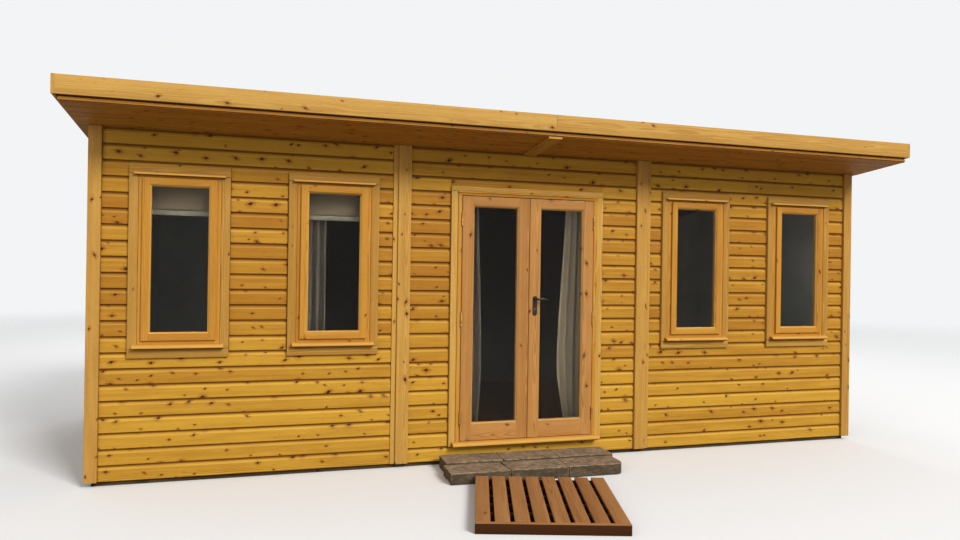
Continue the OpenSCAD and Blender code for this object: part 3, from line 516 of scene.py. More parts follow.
walls = [
    ("front_boards_left", "front_cladding_left", *on_front,
     rows_round(-wall_x, -outer_edge, window_holes[:2]), [-x for x in reversed(front_studs)]),
    ("front_boards_right", "front_cladding_right", *on_front,
     rows_round(outer_edge, wall_x, window_holes[2:], [(20, 1.95)]), front_studs),
    ("door_boards", "door_cladding", *on_front,
     rows_round(-door_edge, door_edge, door_hole), [-0.88, -0.64, -0.3, 0.3, 0.64, 0.88]),
    ("left_side_boards", "left_cladding", (-clad_x, core_y, 0), -Y, X, side_rows, side_studs),
    ("right_side_boards", "right_cladding", (clad_x, -core_y, 0), Y, -X, side_rows, side_studs),
    ("back_boards", "back_cladding", (clad_x, clad_y, 0), -X, -Y,
     rows_round(clad_x - wall_x, clad_x + wall_x, [], back_joints), [0.06 + 0.4867 * i for i in range(13)]),
]
for name, node, start, along, inward, runs, studs in walls:
    bm = new_mesh()
    clad(bm, nails, start, along, inward, runs, studs)
    make_piece(name, bm, cladding_pine, "cladding", node)
steel, tree, surface = new_material("bright nails")
fill_in(surface, {"Base Color": srgb(150, 146, 138), "Metallic": 1.0, "Roughness": 0.45})


# Corner boards and cover strips. Planed boards close the corners and the joints between the
# three front panels, standing proud of the cladding, each nailed down both edges.
trim_t, trim_ease, batten_t, hair = 0.020, 0.003, 0.0244, 0.0003
packer_t = trim_t - 2 * hair
tuck, side_rise, nail_lean, nail_inset, nail_short = 0.002, 0.012, 0.024, 0.03, 0.02
strip_low, strip_high = skirt, soffit_z - 2 * seat_gap
back_high = soffit_z + soffit_t - (half_d + clad_y) * math.tan(roof_fall) + tuck
trim_pine = timber("honey trim", (199, 152, 72), (162, 110, 47), (60, 22, 5),
                   {"Knot Share": 0.46, "Knot Size": 0.0115, "Ring Strength": 0.4, "Tone Spread": 0.3})


def nail_line(place, length, outward, spacing=0.42):
    """Nails up a board in pairs, from the middle of its bottom end."""
    side = Z.cross(outward)
    count = int(length / spacing)
    for i in range(count + 1):
        for lean in (-nail_lean, nail_lean):
            z = nail_inset + i * (length - 2 * nail_inset) / count + dice.uniform(-0.012, 0.012)
            nail(nails, Vector(place) + Z * z + side * (lean + dice.uniform(-0.003, 0.003)), outward)


bm = new_mesh()
for side in (-1, 1):
    for front in (-1, 1):
        tall = (strip_high if front < 0 else back_high) - strip_low
        to_x, to_y = -side * X, -front * Y
        corner_parts = (
            (half_w, half_d, to_x, to_y, 0, rectangle(corner_w, trim_t, trim_ease)),
            (half_w, clad_y, to_y, to_x, side_rise, rectangle(corner_side_w, trim_t, trim_ease)),
            (clad_x - hair, clad_y - hair, to_x, to_y, 0, rectangle(corner_w - trim_t - hair, packer_t)),
            (clad_x - hair, core_y - hair, to_y, to_x, side_rise,
             rectangle(corner_side_w - trim_t - hair, packer_t)))
        for x, y, across, inward, rise, section in corner_parts:
            start = (side * x, front * y, strip_low)
            faces = lay_timber(bm, start, Z, across, inward, tall + rise, section)
            saw(bm, faces, roof_under, roof_up)
        nail_line((side * (half_w - corner_w / 2), front * half_d, strip_low), tall - nail_short, front * Y)
make_piece("corner_boards", bm, trim_pine, "trim_boards", "corner_trims")

bm = new_mesh()
strip_l = strip_high - strip_low
for side in (-1, 1):
    for x, y, section in ((joint_x - strip_w, trim_y, rectangle(strip_w, trim_t, trim_ease)),
                          (joint_x, -clad_y - trim_t / 4, rectangle(batten_w, batten_t, 0.002)),
                          (joint_x - strip_w, -clad_y + hair, rectangle(strip_w - 2 * hair, packer_t))):
        lay_timber(bm, (side * x, y, strip_low), Z, side * X, Y, strip_l, section)
    nail_line((side * (joint_x - strip_w / 2), trim_y, strip_low), strip_l, -Y)
make_piece("cover_boards", bm, trim_pine, "trim_boards", "cover_strips")


# Roof edges. A planed fascia in two lengths and a barge board on each side hide the roof
# panels. Matchboards line the underside of the eaves and stop in a tongue short of the fascia,
# with a cover strip over their middle joint, and narrow returns close the other three sides.
fascia_y, back_y, roof_x, barge_x = -2.000, 1.620, 3.080, 3.100
fascia_t, fascia_h, butt, spare = 0.020, 0.114, 0.0005, 0.05
fascia_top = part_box("front_fascia")[1].z
back_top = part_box("back_fascia")[1].z
fascia_board = rectangle(fascia_h, fascia_t, 0.004)
barge_board = rectangle(math.cos(roof_fall) * fascia_h, fascia_t, 0.004)
fascia_pine = timber("honey fascia", (196, 152, 76), (162, 114, 50), (74, 32, 8),
                     {"Knot Share": 0.34, "Knot Size": 0.010, "Ring Strength": 0.4, "Tone Spread": 0.3})
rake = Vector((0, math.cos(roof_fall), -math.sin(roof_fall)))


def sloped(level_length):
    """A length in plan, as it lies along the roof's fall."""
    return level_length / math.cos(roof_fall)


bm = new_mesh()
for side in (-1, 1):
    lay_timber(bm, (side * butt, fascia_y, fascia_top), side * X, -Z, Y, roof_x - butt, fascia_board)
make_piece("fascia_boards", bm, fascia_pine, "trim_boards", "front_fascia")

bm = new_mesh()
for x in (-roof_x, butt):
    lay_timber(bm, (x, back_y, back_top), X, -Z, -Y, roof_x - butt, fascia_board)
make_piece("back_fascia_boards", bm, fascia_pine, "trim_boards", "back_fascia")

bm = new_mesh()
for side in (-1, 1):
    start = Vector((side * barge_x, fascia_y, fascia_top)) - rake * spare
    run = sloped(back_y - fascia_y) + 2 * spare
    faces = lay_timber(bm, start, rake, -roof_up, -side * X, run, barge_board)
    saw(bm, faces, (0, fascia_y, 0), -Y)
    faces = [f for f in bm.faces if f.calc_center_median().x * side > 0]
    saw(bm, faces, (0, back_y, 0), Y)
make_piece("barge_boards_planed", bm, fascia_pine, "trim_boards", "barge_boards")

soffit_pine = timber("honey soffit", (192, 134, 52), (146, 91, 30), (56, 20, 4),
                     {"Knot Share": 0.6, "Knot Size": 0.0105})
soffit_out, soffit_in, soffit_count = fascia_y + fascia_t, -core_y - seat_gap, 5
soffit_w = sloped(soffit_in - soffit_out) / soffit_count
vee, tongue_t, tongue_reach, tongue_arris = 0.005, 0.008, 0.006, 0.001
tongue_low, soffit_top = (soffit_t - tongue_t) * 2 / 3, soffit_t - 2 * hair
fillet_h, fillet_w, middle_gap, side_shadow = 0.009, 0.020, 0.0004, 0.012
trim_out, trim_in, return_y, return_w = 3.0004, 2.9212, 1.421, 0.0198
back_out, back_in = 1.5004, back_y - fascia_t - hair
strip_cover_w, strip_cover_t, strip_drop = 0.100, 0.0137, 0.014


def under_roof(x, y):
    """The place on the underside of the soffit over a place in plan."""
    return Vector((x, y, soffit_z - (y + clad_y) * math.tan(roof_fall)))


def matchboard(width, tongue=False):
    """A board with a vee along both edges of its face. The outer one ends in its bare tongue."""
    # The vees, the far edge and the shoulders of the tongue take painted shade.
    far_edge = [(width - vee, 0), (width - hair, vee, 1.0), (width - hair, soffit_top, 1.0)]
    if not tongue:
        return [(hair, vee), (vee, 0), *far_edge, (hair, soffit_top, 1.0)]
    top = tongue_low + tongue_t
    return [(0, soffit_top), (0, top), (-tongue_reach, top, 0.3), (-tongue_reach, tongue_low, 0.3),
            (0, tongue_low, 1.0), (0, tongue_arris, 1.0), (tongue_arris, 0), *far_edge]


bm = new_mesh()
soffit_l = roof_x - side_shadow
for i in range(soffit_count):
    for half in (-1, 1):
        start = under_roof(half * middle_gap, soffit_out) + rake * (i * soffit_w)
        lay_timber(bm, start, half * X, rake, roof_up, soffit_l, matchboard(soffit_w, i == 0))
# The fillet is darkened a little all over as painted shade.
fillet = [(w, d, 0.3) for w, d in rectangle(fillet_w, fillet_h, 0.002)]
for half in (-1, 1):
    start = under_roof(half * middle_gap, soffit_out) + roof_up * (soffit_t + seat_gap) + rake * seat_gap
    lay_timber(bm, start, half * X, rake, roof_up, soffit_l, fillet)
for side in (-1, 1):
    for x, y, back, width in ((trim_out, soffit_in, half_d, soffit_l - trim_out),
                              (clad_x + hair, -return_y, return_y, trim_out - clad_x - hair)):
        lay_timber(bm, under_roof(side * x, y), rake, side * X, roof_up, sloped(back - y), matchboard(width))
for x, y, width in ((roof_x - hair, back_out, sloped(back_in - back_out)),
                    (trim_in, clad_y + hair, return_w)):
    lay_timber(bm, under_roof(-x, y), X, rake, roof_up, 2 * x, matchboard(width))
make_piece("soffit_boards", bm, soffit_pine, "trim_boards", "soffit")

bm = new_mesh()
start = under_roof(-strip_cover_w / 2, soffit_out) - roof_up * strip_drop
lay_timber(bm, start, rake, X, roof_up, sloped(-clad_y - seat_gap - soffit_out),
           rectangle(strip_cover_w, strip_cover_t, trim_ease))
make_piece("soffit_cover_strip", bm, trim_pine, "trim_boards", "soffit_strips")


# Roof covering. Mineral felt in four lengths that lap down the slope.
def speckle(place, grain_size):
    """Mineral grains as a value from dark to light."""
    cells = put(place.id_data, "TexVoronoi", {}, {"Vector": place, "Scale": 1 / grain_size}).outputs["Color"]
    return put(place.id_data, "SeparateColor", {}, {0: cells}).outputs["Red"]


def skin(bm, grid):
    """Faces between the rows of a grid of points."""
    for lower, upper in zip(grid, grid[1:]):
        for c in range(len(lower) - 1):
            bm.faces.new((lower[c], lower[c + 1], upper[c + 1], upper[c]))


felt, tree, surface = new_material("mineral felt")
place = place_in(tree)
grains = speckle(place, 0.003)
stains = ramp(clouds(scaled(place, 1.5, 3, 3), 4.0), 0.35, 0.7)
mineral = colours(grains, srgb(58, 60, 62), srgb(104, 106, 106))
fill_in(surface, {"Base Color": colours(times(stains, 0.35), mineral, srgb(120, 118, 110)),
                  "Normal": relief(grains, 0.8, 0.0008), "Roughness": 0.92})
felt_low, felt_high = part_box("roof_covering")
felt_steps, felt_lap, felt_t, felt_seat, felt_wave = 4, 0.0028, 0.0024, 0.0032, 0.0003
columns, margin, felt_rise, felt_turn = 60, 0.0005, 0.0006, 0.03
felt_run = (felt_high.y - felt_low.y) / felt_steps
bm = bmesh.new()
grid = []
for i in range(felt_steps):
    first, last = felt_low.y + i * felt_run, felt_low.y + (i + 1) * felt_run
    for y, lift in ((first + margin, 0.0), (first + felt_run * 0.5, felt_rise), (last - felt_turn, felt_lap),
                    (last - margin, felt_lap)):
        z = felt_high.z - felt_seat - (y - felt_low.y) * math.tan(roof_fall) + lift
        waves = [felt_wave * noise.noise((c * 0.7, y * 6, 1.3)) for c in range(columns + 1)]
        grid.append([bm.verts.new((felt_low.x + (felt_high.x - felt_low.x) * c / columns, y, z + wave))
                     for c, wave in enumerate(waves)])
under = [[bm.verts.new(vert.co - Z * felt_t) for vert in line] for line in grid]
skin(bm, grid)
skin(bm, under)
for end in (0, -1):
    skin(bm, [grid[end], under[end]])
    skin(bm, [[line[end] for line in grid], [line[end] for line in under]])
make_piece("felt_sheets", bm, felt, "roof_felt", "roof_covering", angle=30)


# Windows. Four tall fixed windows of redwood: a frame let into the wall with pale boards round
# it, a sill that throws the rain clear, a bead over the head and a lipped sash.
pale_pine = timber("pale surround", (208, 164, 84), (166, 118, 48), (66, 28, 8),
                   {"Knot Share": 0.2, "Knot Size": 0.009, "Tone Spread": 0.25})
joinery_knots = {"Knot Share": 0.26, "Knot Size": 0.013, "Ring Pitch": 0.0035, "Tone Spread": 0.35}
redwood = timber("redwood joinery", (197, 142, 55), (166, 106, 35), (92, 36, 8), joinery_knots, 0.5)
frame_low, frame_y, frame_face, frame_d, frame_show = 0.910, -1.496, 0.034, 0.070, 0.024
sash_y, sash_d, sash_face, lip, rebate = -1.512, 0.044, 0.054, 0.016, 0.010
bevel, quirk, pane_back, arris = 0.009, 0.002, 0.014, 0.0002
shy, butt_gap, surround_ease, horn, bead_drop = 0.0015, 0.0004, 0.0025, 0.027, 0.008
weathered, pale = 2.4, -0.4


def glazing_bevel(face, depth):
    """The moulded strip along the glass edge, measured in from the outside of the stile."""
    # The bevel carries a painted highlight.
    outer = face - bevel - arris
    return [(outer, 0), (face - bevel, 0), (face - bevel, quirk, -0.7), (face, pane_back - quirk, -0.7),
            (face, depth), (outer, depth)]


def four_lengths(bm, x0, x1, z0, z1, y, sections, joint, mitre=0, eases=(0.0008, 0.0004)):
    """Two stiles the full height, and two rails that start at the joint or meet them in a mitre."""
    stile, bottom, top = sections
    for x, across in ((x0, X), (x1, -X)):
        lay_timber(bm, (x, y, z0), Z, across, Y, z1 - z0, stile, mitre, eases[0])
    for z, across, section in ((z0, Z, bottom), (z1, -Z, top)):
        lay_timber(bm, (x0 + joint, y, z), X, across, Y, x1 - x0 - 2 * joint, section, mitre, eases[1])


def ring_of(bm, sides, section):
    four_lengths(bm, *sides, [section] * 3, 0, 1, (0, 0))


def stiles_and_rails(bm, sides, stile, bottom, top, depth, ease=0.0012):
    four_lengths(bm, *sides, [rectangle(wide, depth, ease) for wide in (stile, bottom, top)], stile)


def lay_sill(bm, x, wide, z, inside, reach, back, tall):
    """A sill with a weathered top and a rounded nose, whose horns run past the frame.

    Its part in the wall is as wide as the opening. Its section is height and depth."""
    # The top and nose carry a painted highlight, the underside painted shade.
    nose = tall / 4
    round_nose = [(-tall * 0.25 - nose * (1 - math.cos(a)), -reach + nose * (1 - math.sin(a)), -0.6)
                  for a in (math.radians(d) for d in (20, 45, 70, 90))]
    outer = [(0, 0), (-tall * 0.25, -reach + nose, -1.0), *round_nose, (-tall + nose, -reach),
             (-tall + nose / 2, -reach + nose, 0.7), (-tall, 0, 1.0)]
    inner = [(-tall, arris), (0, arris), (0, back), (-tall, back)]
    lay_timber(bm, (x - wide / 2, trim_y, z), X, Z, Y, wide, outer, tone=pale)
    lay_timber(bm, (x - inside / 2, trim_y, z), X, Z, Y, inside, inner)


def upright_boards(bm, x0, x1, low, high, wide, aged=False):
    """The side boards of a surround with their packers behind, and a line of nails down each."""
    length = high - low - butt_gap
    for x, across in ((x0 - shy, -X), (x1 + shy, X)):
        tone = weathered + dice.uniform(-0.5, 0.5) if aged else None
        board, packer = rectangle(wide - shy, trim_t, surround_ease), rectangle(wide - shy, packer_t)
        lay_timber(bm, (x, trim_y, low), Z, across, Y, length, board, tone=tone)
        lay_timber(bm, (x, -clad_y + hair, low), Z, across, Y, length, packer)
    for x in (x0 - wide / 2, x1 + wide / 2):
        nail_line((x, trim_y, low), high - low, -Y, 0.36)


def bead_section(tall, out, rounding, steps):
    return eased([(0, 0), (0, -out), (tall, -out), (tall, 0)], rounding, steps)


surrounds, sashes = new_mesh(), new_mesh()
# The bead's underside takes painted shade and the rest of it a painted highlight.
bead = [(w, d, 1.0 if w < 0.003 else -0.8)
        for w, d in bead_section(0.016, out=0.026, rounding=0.0065, steps=5)]
flat_face = sash_face - bevel
sash_back = [(rebate, lip), (flat_face, lip), (flat_face, sash_d), (rebate, sash_d)]
window_nodes = ["outer_left_window", "inner_left_window", "inner_right_window", "outer_right_window"]
for x, node in zip(window_places, window_nodes):
    x0, x1 = x - window_w / 2, x + window_w / 2
    for z, across in ((window_high + shy, Z), (window_low - shy, -Z)):
        lay_timber(surrounds, (x0 - surround_w, trim_y, z), X, across, Y, window_w + 2 * surround_w,
                   rectangle(surround_w - shy, trim_t, surround_ease),
                   tone=weathered + dice.uniform(-0.5, 0.5))
    upright_boards(surrounds, x0, x1, window_low, window_high, surround_w, aged=True)
    bm = new_mesh()
    frame_sides = (x0, x1, frame_low, window_high, frame_y)
    stiles_and_rails(bm, frame_sides, frame_face, frame_face, frame_face, frame_d)
    lay_sill(bm, x, window_w + 2 * horn, frame_low, window_w, reach=0.042, back=0.115, tall=0.032)
    bead_start = (x0 - horn, trim_y, window_high - bead_drop)
    lay_timber(bm, bead_start, X, Z, Y, window_w + 2 * horn, bead, tone=pale)
    make_piece(node + "_joinery", bm, redwood, "redwood", node)
    sash = (x0 + frame_show, x1 - frame_show, frame_low + frame_show, window_high - frame_show, sash_y)
    stiles_and_rails(sashes, sash, flat_face, flat_face, flat_face, lip)
    ring_of(sashes, sash, sash_back)
    ring_of(sashes, sash, glazing_bevel(sash_face, sash_d))
make_piece("window_surround_boards", surrounds, pale_pine, "pale_boards", "window_surrounds")
make_piece("sash_joinery", sashes, redwood, "redwood", "window_sashes")


# Glass. Clear sealed panes let into the bevelled edges, faintly green, with the dust of a
# week outdoors.
glass, tree, surface = new_material("pane glass")
dust = ramp(clouds(scaled(place_in(tree), 3, 3, 2), 4.0), 0.5, 0.8, 0.0, 0.02)
fill_in(surface, {"Base Color": srgb(236, 238, 234), "Roughness": dust, "Transmission Weight": 1.0,
                  "IOR": 1.17})
for node in ("window_glass", "left_door_glass", "right_door_glass"):
    dress(node, glass)


# Door frame. A redwood frame stands a little proud of pale boards, over a thick rounded sill.
# A bead runs along its head.
door_w, head_h = 2 * door_half, 0.038
door_sill_z, door_frame_y, door_frame_d, door_show = 0.167, -1.506, 0.092, 0.028
stop_d, stop_w, jamb_arris = 0.047, 0.014, 0.002
stop_x, door_bead = door_half - door_show - stop_w, 0.011
bm = new_mesh()
lay_timber(bm, (-door_half - door_surround_w, trim_y, door_high + shy), X, Z, Y, door_w + 2 * door_surround_w,
           rectangle(head_h - shy, trim_t, surround_ease))
upright_boards(bm, -door_half, door_half, door_low, door_high, door_surround_w)
make_piece("door_surround_boards", bm, pale_pine, "pale_boards", "door_surround")

bm = new_mesh()
jamb = [(0, 0), (door_show - jamb_arris, 0), (door_show, jamb_arris), (door_show, stop_d),
        (door_show + stop_w, stop_d), (door_show + stop_w, door_frame_d), (0, door_frame_d)]
for side in (-1, 1):
    lay_timber(bm, (side * door_half, door_frame_y, door_sill_z), Z, -side * X, Y,
               door_high - door_show - door_sill_z, jamb)
make_piece("door_jamb_boards", bm, redwood, "redwood", "door_jambs")

bm = new_mesh()
stop = [(door_show, stop_d), (door_show + stop_w, stop_d), (door_show + stop_w, door_frame_d),
        (door_show, door_frame_d)]
lay_timber(bm, (-door_half, door_frame_y, door_high), X, -Z, Y, door_w,
           rectangle(door_show, door_frame_d, jamb_arris))
lay_timber(bm, (-stop_x, door_frame_y, door_high), X, -Z, Y, 2 * stop_x, stop)
lay_timber(bm, (-door_half, door_frame_y, door_high - door_bead), X, Z, Y, door_w,
           bead_section(door_bead, out=0.007, rounding=0.005, steps=4))
make_piece("door_head_board", bm, redwood, "redwood", "door_head")

bm = new_mesh()
lay_sill(bm, 0, door_w + 2 * horn, door_sill_z, door_w, reach=0.052, back=0.086, tall=0.036)
make_piece("door_sill_board", bm, redwood, "redwood", "door_sill")


# Door leaves. Each is a redwood frame of two stiles and two rails, mortised together and
# bevelled along the glass, with the grain of each member along its own length.
leaf_y, leaf_z, leaf_h, leaf_d, leaf_in, leaf_out = -1.508, 0.172, 1.796, 0.044, 0.0025, 0.525
stile_w, top_rail, bottom_rail = 0.092, 0.079, 0.130
# The leaves take a darker copy of the redwood as painted shade.
shaded_leaf_wood = timber("shaded redwood leaves", (186, 133, 72), (152, 101, 50), (84, 34, 10), joinery_knots, 0.5)
for body, side in (("left_leaf", -1), ("right_leaf", 1)):
    x0, x1 = sorted((side * leaf_in, side * leaf_out))
    z0, z1, inset = leaf_z, leaf_z + leaf_h, stile_w - sash_face
    bm = new_mesh()
    stiles_and_rails(bm, (x0, x1, z0, z1, leaf_y), stile_w - bevel, bottom_rail - bevel, top_rail - bevel,
                     leaf_d, 0.0015)
    pane_sides = (x0 + inset, x1 - inset, z0 + bottom_rail - sash_face, z1 - top_rail + sash_face, leaf_y)
    ring_of(bm, pane_sides, glazing_bevel(sash_face, leaf_d))
    make_piece(body + "_joinery", bm, shaded_leaf_wood, "redwood", body.split("_")[0] + "_door", body=body)


# Hinges. Three brass butts to a leaf, their knuckles standing in front of the joint.
metal, given, result = new_group("Metal finish", [
    ("Place", "Vector"), ("Bright", "Color"), ("Dull", "Color"), ("Grain Size", "Float", 0.004)],
    [("Color", "Color"), ("Wear", "Float"), ("Height", "Float")])
fineness = maths("DIVIDE", 1.0, given["Grain Size"])
spread = put(metal, "VectorMath", {"operation": "SCALE"}, {0: given["Place"], "Scale": fineness}).outputs[0]
blotches = clouds(scaled(spread, 0.12, 0.12, 0.12), 4.0, 0.6)
worn = ramp(blotches, 0.38, 0.66)
fill_in(result, {"Color": colours(worn, given["Bright"], given["Dull"]), "Wear": worn,
                 "Height": times(clouds(spread), 0.4, blotches)})


def metal_finish(name, bright, dull, polish, tarnished, metallic=1.0, depth=0.00008):
    material, tree, surface = new_material(name)
    face = put(tree, "Group", {"node_tree": metal}, {
        "Place": place_in(tree), "Bright": srgb(*bright), "Dull": srgb(*dull)}).outputs
    fill_in(surface, {"Base Color": face["Color"], "Roughness": ramp(face["Wear"], 0, 1, polish, tarnished),
                      "Normal": relief(face["Height"], 0.6, depth), "Metallic": metallic})
    return material


brass = metal_finish("lacquered brass", (206, 164, 86), (150, 110, 56), 0.25, 0.45)
for node in ("frame_hinges", "left_door_hinges", "right_door_hinges"):
    dress(node, brass)


# Handles. Black iron plates with round ends are screwed to both faces of the right leaf. One
# square bar through the stile joins the two levers, which are forged thinner along the grip.
iron = metal_finish("black iron", (20, 18, 16), (36, 32, 28), 0.34, 0.5, 0.4, 0.0002)
dress("handle_plates", iron)
spindle, plate_t = Vector((0.0485, leaf_y, 1.212)), 0.006
neck, bend, neck_r, grip_l, grip_w, grip_h = 0.028, 0.0205, 0.007, 0.062, 0.0058, 0.0082
turned = [(0, 0.0118), (0.0075, 0.0118), (0.0088, 0.0108), (0.0092, 0.0088), (0.016, 0.0075), (neck, neck_r)]
screw = [(-0.001, 0.0038), (0.0004, 0.0038), (0.0012, 0.0028), (0.0016, 0.0012)]
screw_above, screw_below = 0.0105, 0.112
oval, belly, droop, set_back, swell = 0.0012, 0.003, 0.004, 0.004, 0.0008


def rod(bm, path, sizes, sides=20):
    """A round or oval bar along a path. A size is (across, tall), and the ends are closed."""
    rings = []
    for i, point in enumerate(path):
        ahead = (path[min(i + 1, len(path) - 1)] - path[max(i - 1, 0)]).normalized()
        tall = (Z - ahead * Z.dot(ahead)).normalized()
        wide = ahead.cross(tall)
        a, b = sizes[i]
        rings.append([bm.verts.new(point + wide * a * math.cos(t) + tall * b * math.sin(t))
                      for t in (2 * math.pi * k / sides for k in range(sides))])
    for low, high in zip(rings, rings[1:]):
        for k in range(sides):
            bm.faces.new((low[k - 1], low[k], high[k], high[k - 1]))
    bm.faces.new(rings[0][::-1])
    bm.faces.new(rings[-1])


bm = new_mesh()
for out, face in ((-1, spindle), (1, spindle + Y * leaf_d)):
    path, sizes = [face + Y * out * y for y, r in turned], [(r, r) for y, r in turned]
    for k in range(1, 9):
        a = math.radians(90 * k / 8)
        path.append(face + Y * out * (neck + bend * math.sin(a)) + X * bend * (1 - math.cos(a)))
        sizes.append((neck_r - oval * k / 8, neck_r + oval * k / 8))
    for k in range(1, 11):
        t = k / 10
        sag = belly * math.sin(math.pi * t) - droop * t ** 3
        path.append(face + Y * out * (neck + bend - set_back * t ** 4) + X * (bend + grip_l * t) + Z * sag)
        sizes.append((grip_w, grip_h + swell * math.sin(math.pi * t)))
    end = path[-1]
    for x, share in ((0.003, 0.92), (0.0055, 0.72), (0.007, 0.42)):
        path.append(end + X * x)
        sizes.append((grip_w * share, grip_h * share))
    rod(bm, path, sizes)
make_piece("lever_handles", bm, iron, "handle_metal", "door_levers", body="lever")

bm = new_mesh()
for out, y in ((-1, leaf_y - plate_t), (1, leaf_y + leaf_d + plate_t)):
    for z in (spindle.z + screw_above, spindle.z - screw_below):
        rod(bm, [Vector((spindle.x, y, z)) + Y * out * d for d, r in screw], [(r, r) for d, r in screw], 12)
make_piece("plate_screws", bm, iron, "handle_metal", body="right_leaf")


# Curtain rails. Square bars of satin steel on brackets from the lining, over the doors and
# over the window that has a curtain.
dress("curtain_rails", metal_finish("satin steel", (176, 176, 174), (150, 150, 148), 0.3, 0.42))


# Curtains. Plain woven cloth gathered on hooks, drawn to the sides of the doors and of one
# window. The folds open from the heading tape towards the hem.
weave, given, result = new_group("Plain weave", [
    ("Thread", "Vector"), ("Warp", "Color"), ("Weft", "Color"), ("Per Metre", "Float", 900.0)],
    [("Color", "Color"), ("Height", "Float")])
thread = given["Thread"]
sockets = {0: thread, "Scale": given["Per Metre"]}
counted = split(put(weave, "VectorMath", {"operation": "SCALE"}, sockets).outputs[0])
over = times(maths("SINE", counted["X"]), maths("SINE", counted["Y"]))
slubs, fade = clouds(scaled(thread, 30, 260, 1), 3.0), clouds(scaled(thread, 5, 5, 1))
shown = times(over, 0.2, times(slubs, 0.5, times(fade, 0.4)))
fill_in(result, {"Color": colours(shown, given["Warp"], given["Weft"]), "Height": times(slubs, 0.3, over)})


def cloth_finish(name, warp, weft):
    material, tree, surface = new_material(name)
    cloth = put(tree, "Group", {"node_tree": weave}, {
        "Thread": attribute(tree, "grain", "Vector"), "Warp": srgb(*warp), "Weft": srgb(*weft)}).outputs
    fill_in(surface, {"Base Color": cloth["Color"], "Normal": relief(cloth["Height"], 0.5, 0.0004),
                      "Roughness": 0.9, "Sheen Weight": 0.25})
    return material


# One cloth in two copies: a lighter one on the right door as painted light, a darker one elsewhere as painted
# shade.
lit_curtain_cloth = cloth_finish("lit curtain cloth", (190, 173, 147), (154, 136, 112))
curtain_cloth = cloth_finish("curtain cloth", (102, 90, 74), (78, 67, 54))
rail_y, rail_z, cloth_t, fold_depth, ripple = -1.307, 2.115, 0.0012, 0.0225, 0.003
door_hem, window_hem = 0.165, 0.850


def thicken(piece, thickness):
    """Gives cloth its thickness, half to either side."""
    body = piece.modifiers.new("cloth thickness", "SOLIDIFY")
    body.thickness = thickness
    body.offset = 0


def gathered(name, low, folds, edges, node, seed, cloth):
    """A curtain in deep soft folds. Edges gives its two sides at a height from 0 at the hem to 1."""
    own = random.Random(seed)
    sway = [own.uniform(-0.35, 0.35) for _ in range(folds + 1)]
    depths = [own.uniform(0.75, 1.0) for _ in range(folds + 1)]
    columns, rows = folds * 14, 44
    bm = new_mesh()
    grain_layer = bm.verts.layers.float_vector["grain"]
    grid, widths = [], []
    for r in range(rows + 1):
        height = r / rows
        z = low + (rail_z - low) * height
        left, right = edges(height)
        opened = 0.6 + 0.4 * math.sin(math.pi * min(1, (1 - height) * 3) / 2)
        line, run, last = [], 0.0, None
        for c in range(columns + 1):
            u = c / columns
            i = min(int(u * folds), folds - 1)
            part = u * folds - i
            swayed = sway[i] * (1 - part) + sway[i + 1] * part
            fullness = depths[i] * (1 - part) + depths[i + 1] * part
            angle = 2 * math.pi * u * folds + swayed * (1 - height) * 2.0
            y = rail_y + fold_depth * fullness * opened * math.sin(angle)
            point = Vector((left + (right - left) * u, y + ripple * noise.noise((u * 6, z * 2.2, seed)), z))
            run += (point - last).length if last else 0
            last = point
            vert = bm.verts.new(point)
            vert[grain_layer] = (run, z, 0)
            line.append(vert)
        grid.append(line)
        widths.append(run)
    skin(bm, grid)
    piece = make_piece(name, bm, cloth, "curtain_cloth", node, angle=180)
    thicken(piece, cloth_t)


def drawn_edge(height, top, waist, hem, waist_at=0.27):
    """The free side of a curtain: its place at the rail, where it bellies out, and at the hem."""
    above = height > waist_at
    t = (1 - height) / (1 - waist_at) if above else 1 - height / waist_at
    start, end = (top, waist) if above else (waist, hem)
    return start + (end - start) * t * t * (3 - 2 * t)


gathered("left_door_drape", door_hem, 3, lambda h: (-0.538, drawn_edge(h, -0.345, -0.309, -0.330)),
         "left_door_curtain", 3, curtain_cloth)
gathered("right_door_drape", door_hem, 3,
         lambda h: (drawn_edge(h, 0.382, 0.320, 0.384), drawn_edge(h, 0.537, 0.537, 0.515)),
         "right_door_curtain", 5, lit_curtain_cloth)
gathered("window_drape", window_hem, 4, lambda h: (-1.701, -1.489), "window_curtain", 8, curtain_cloth)


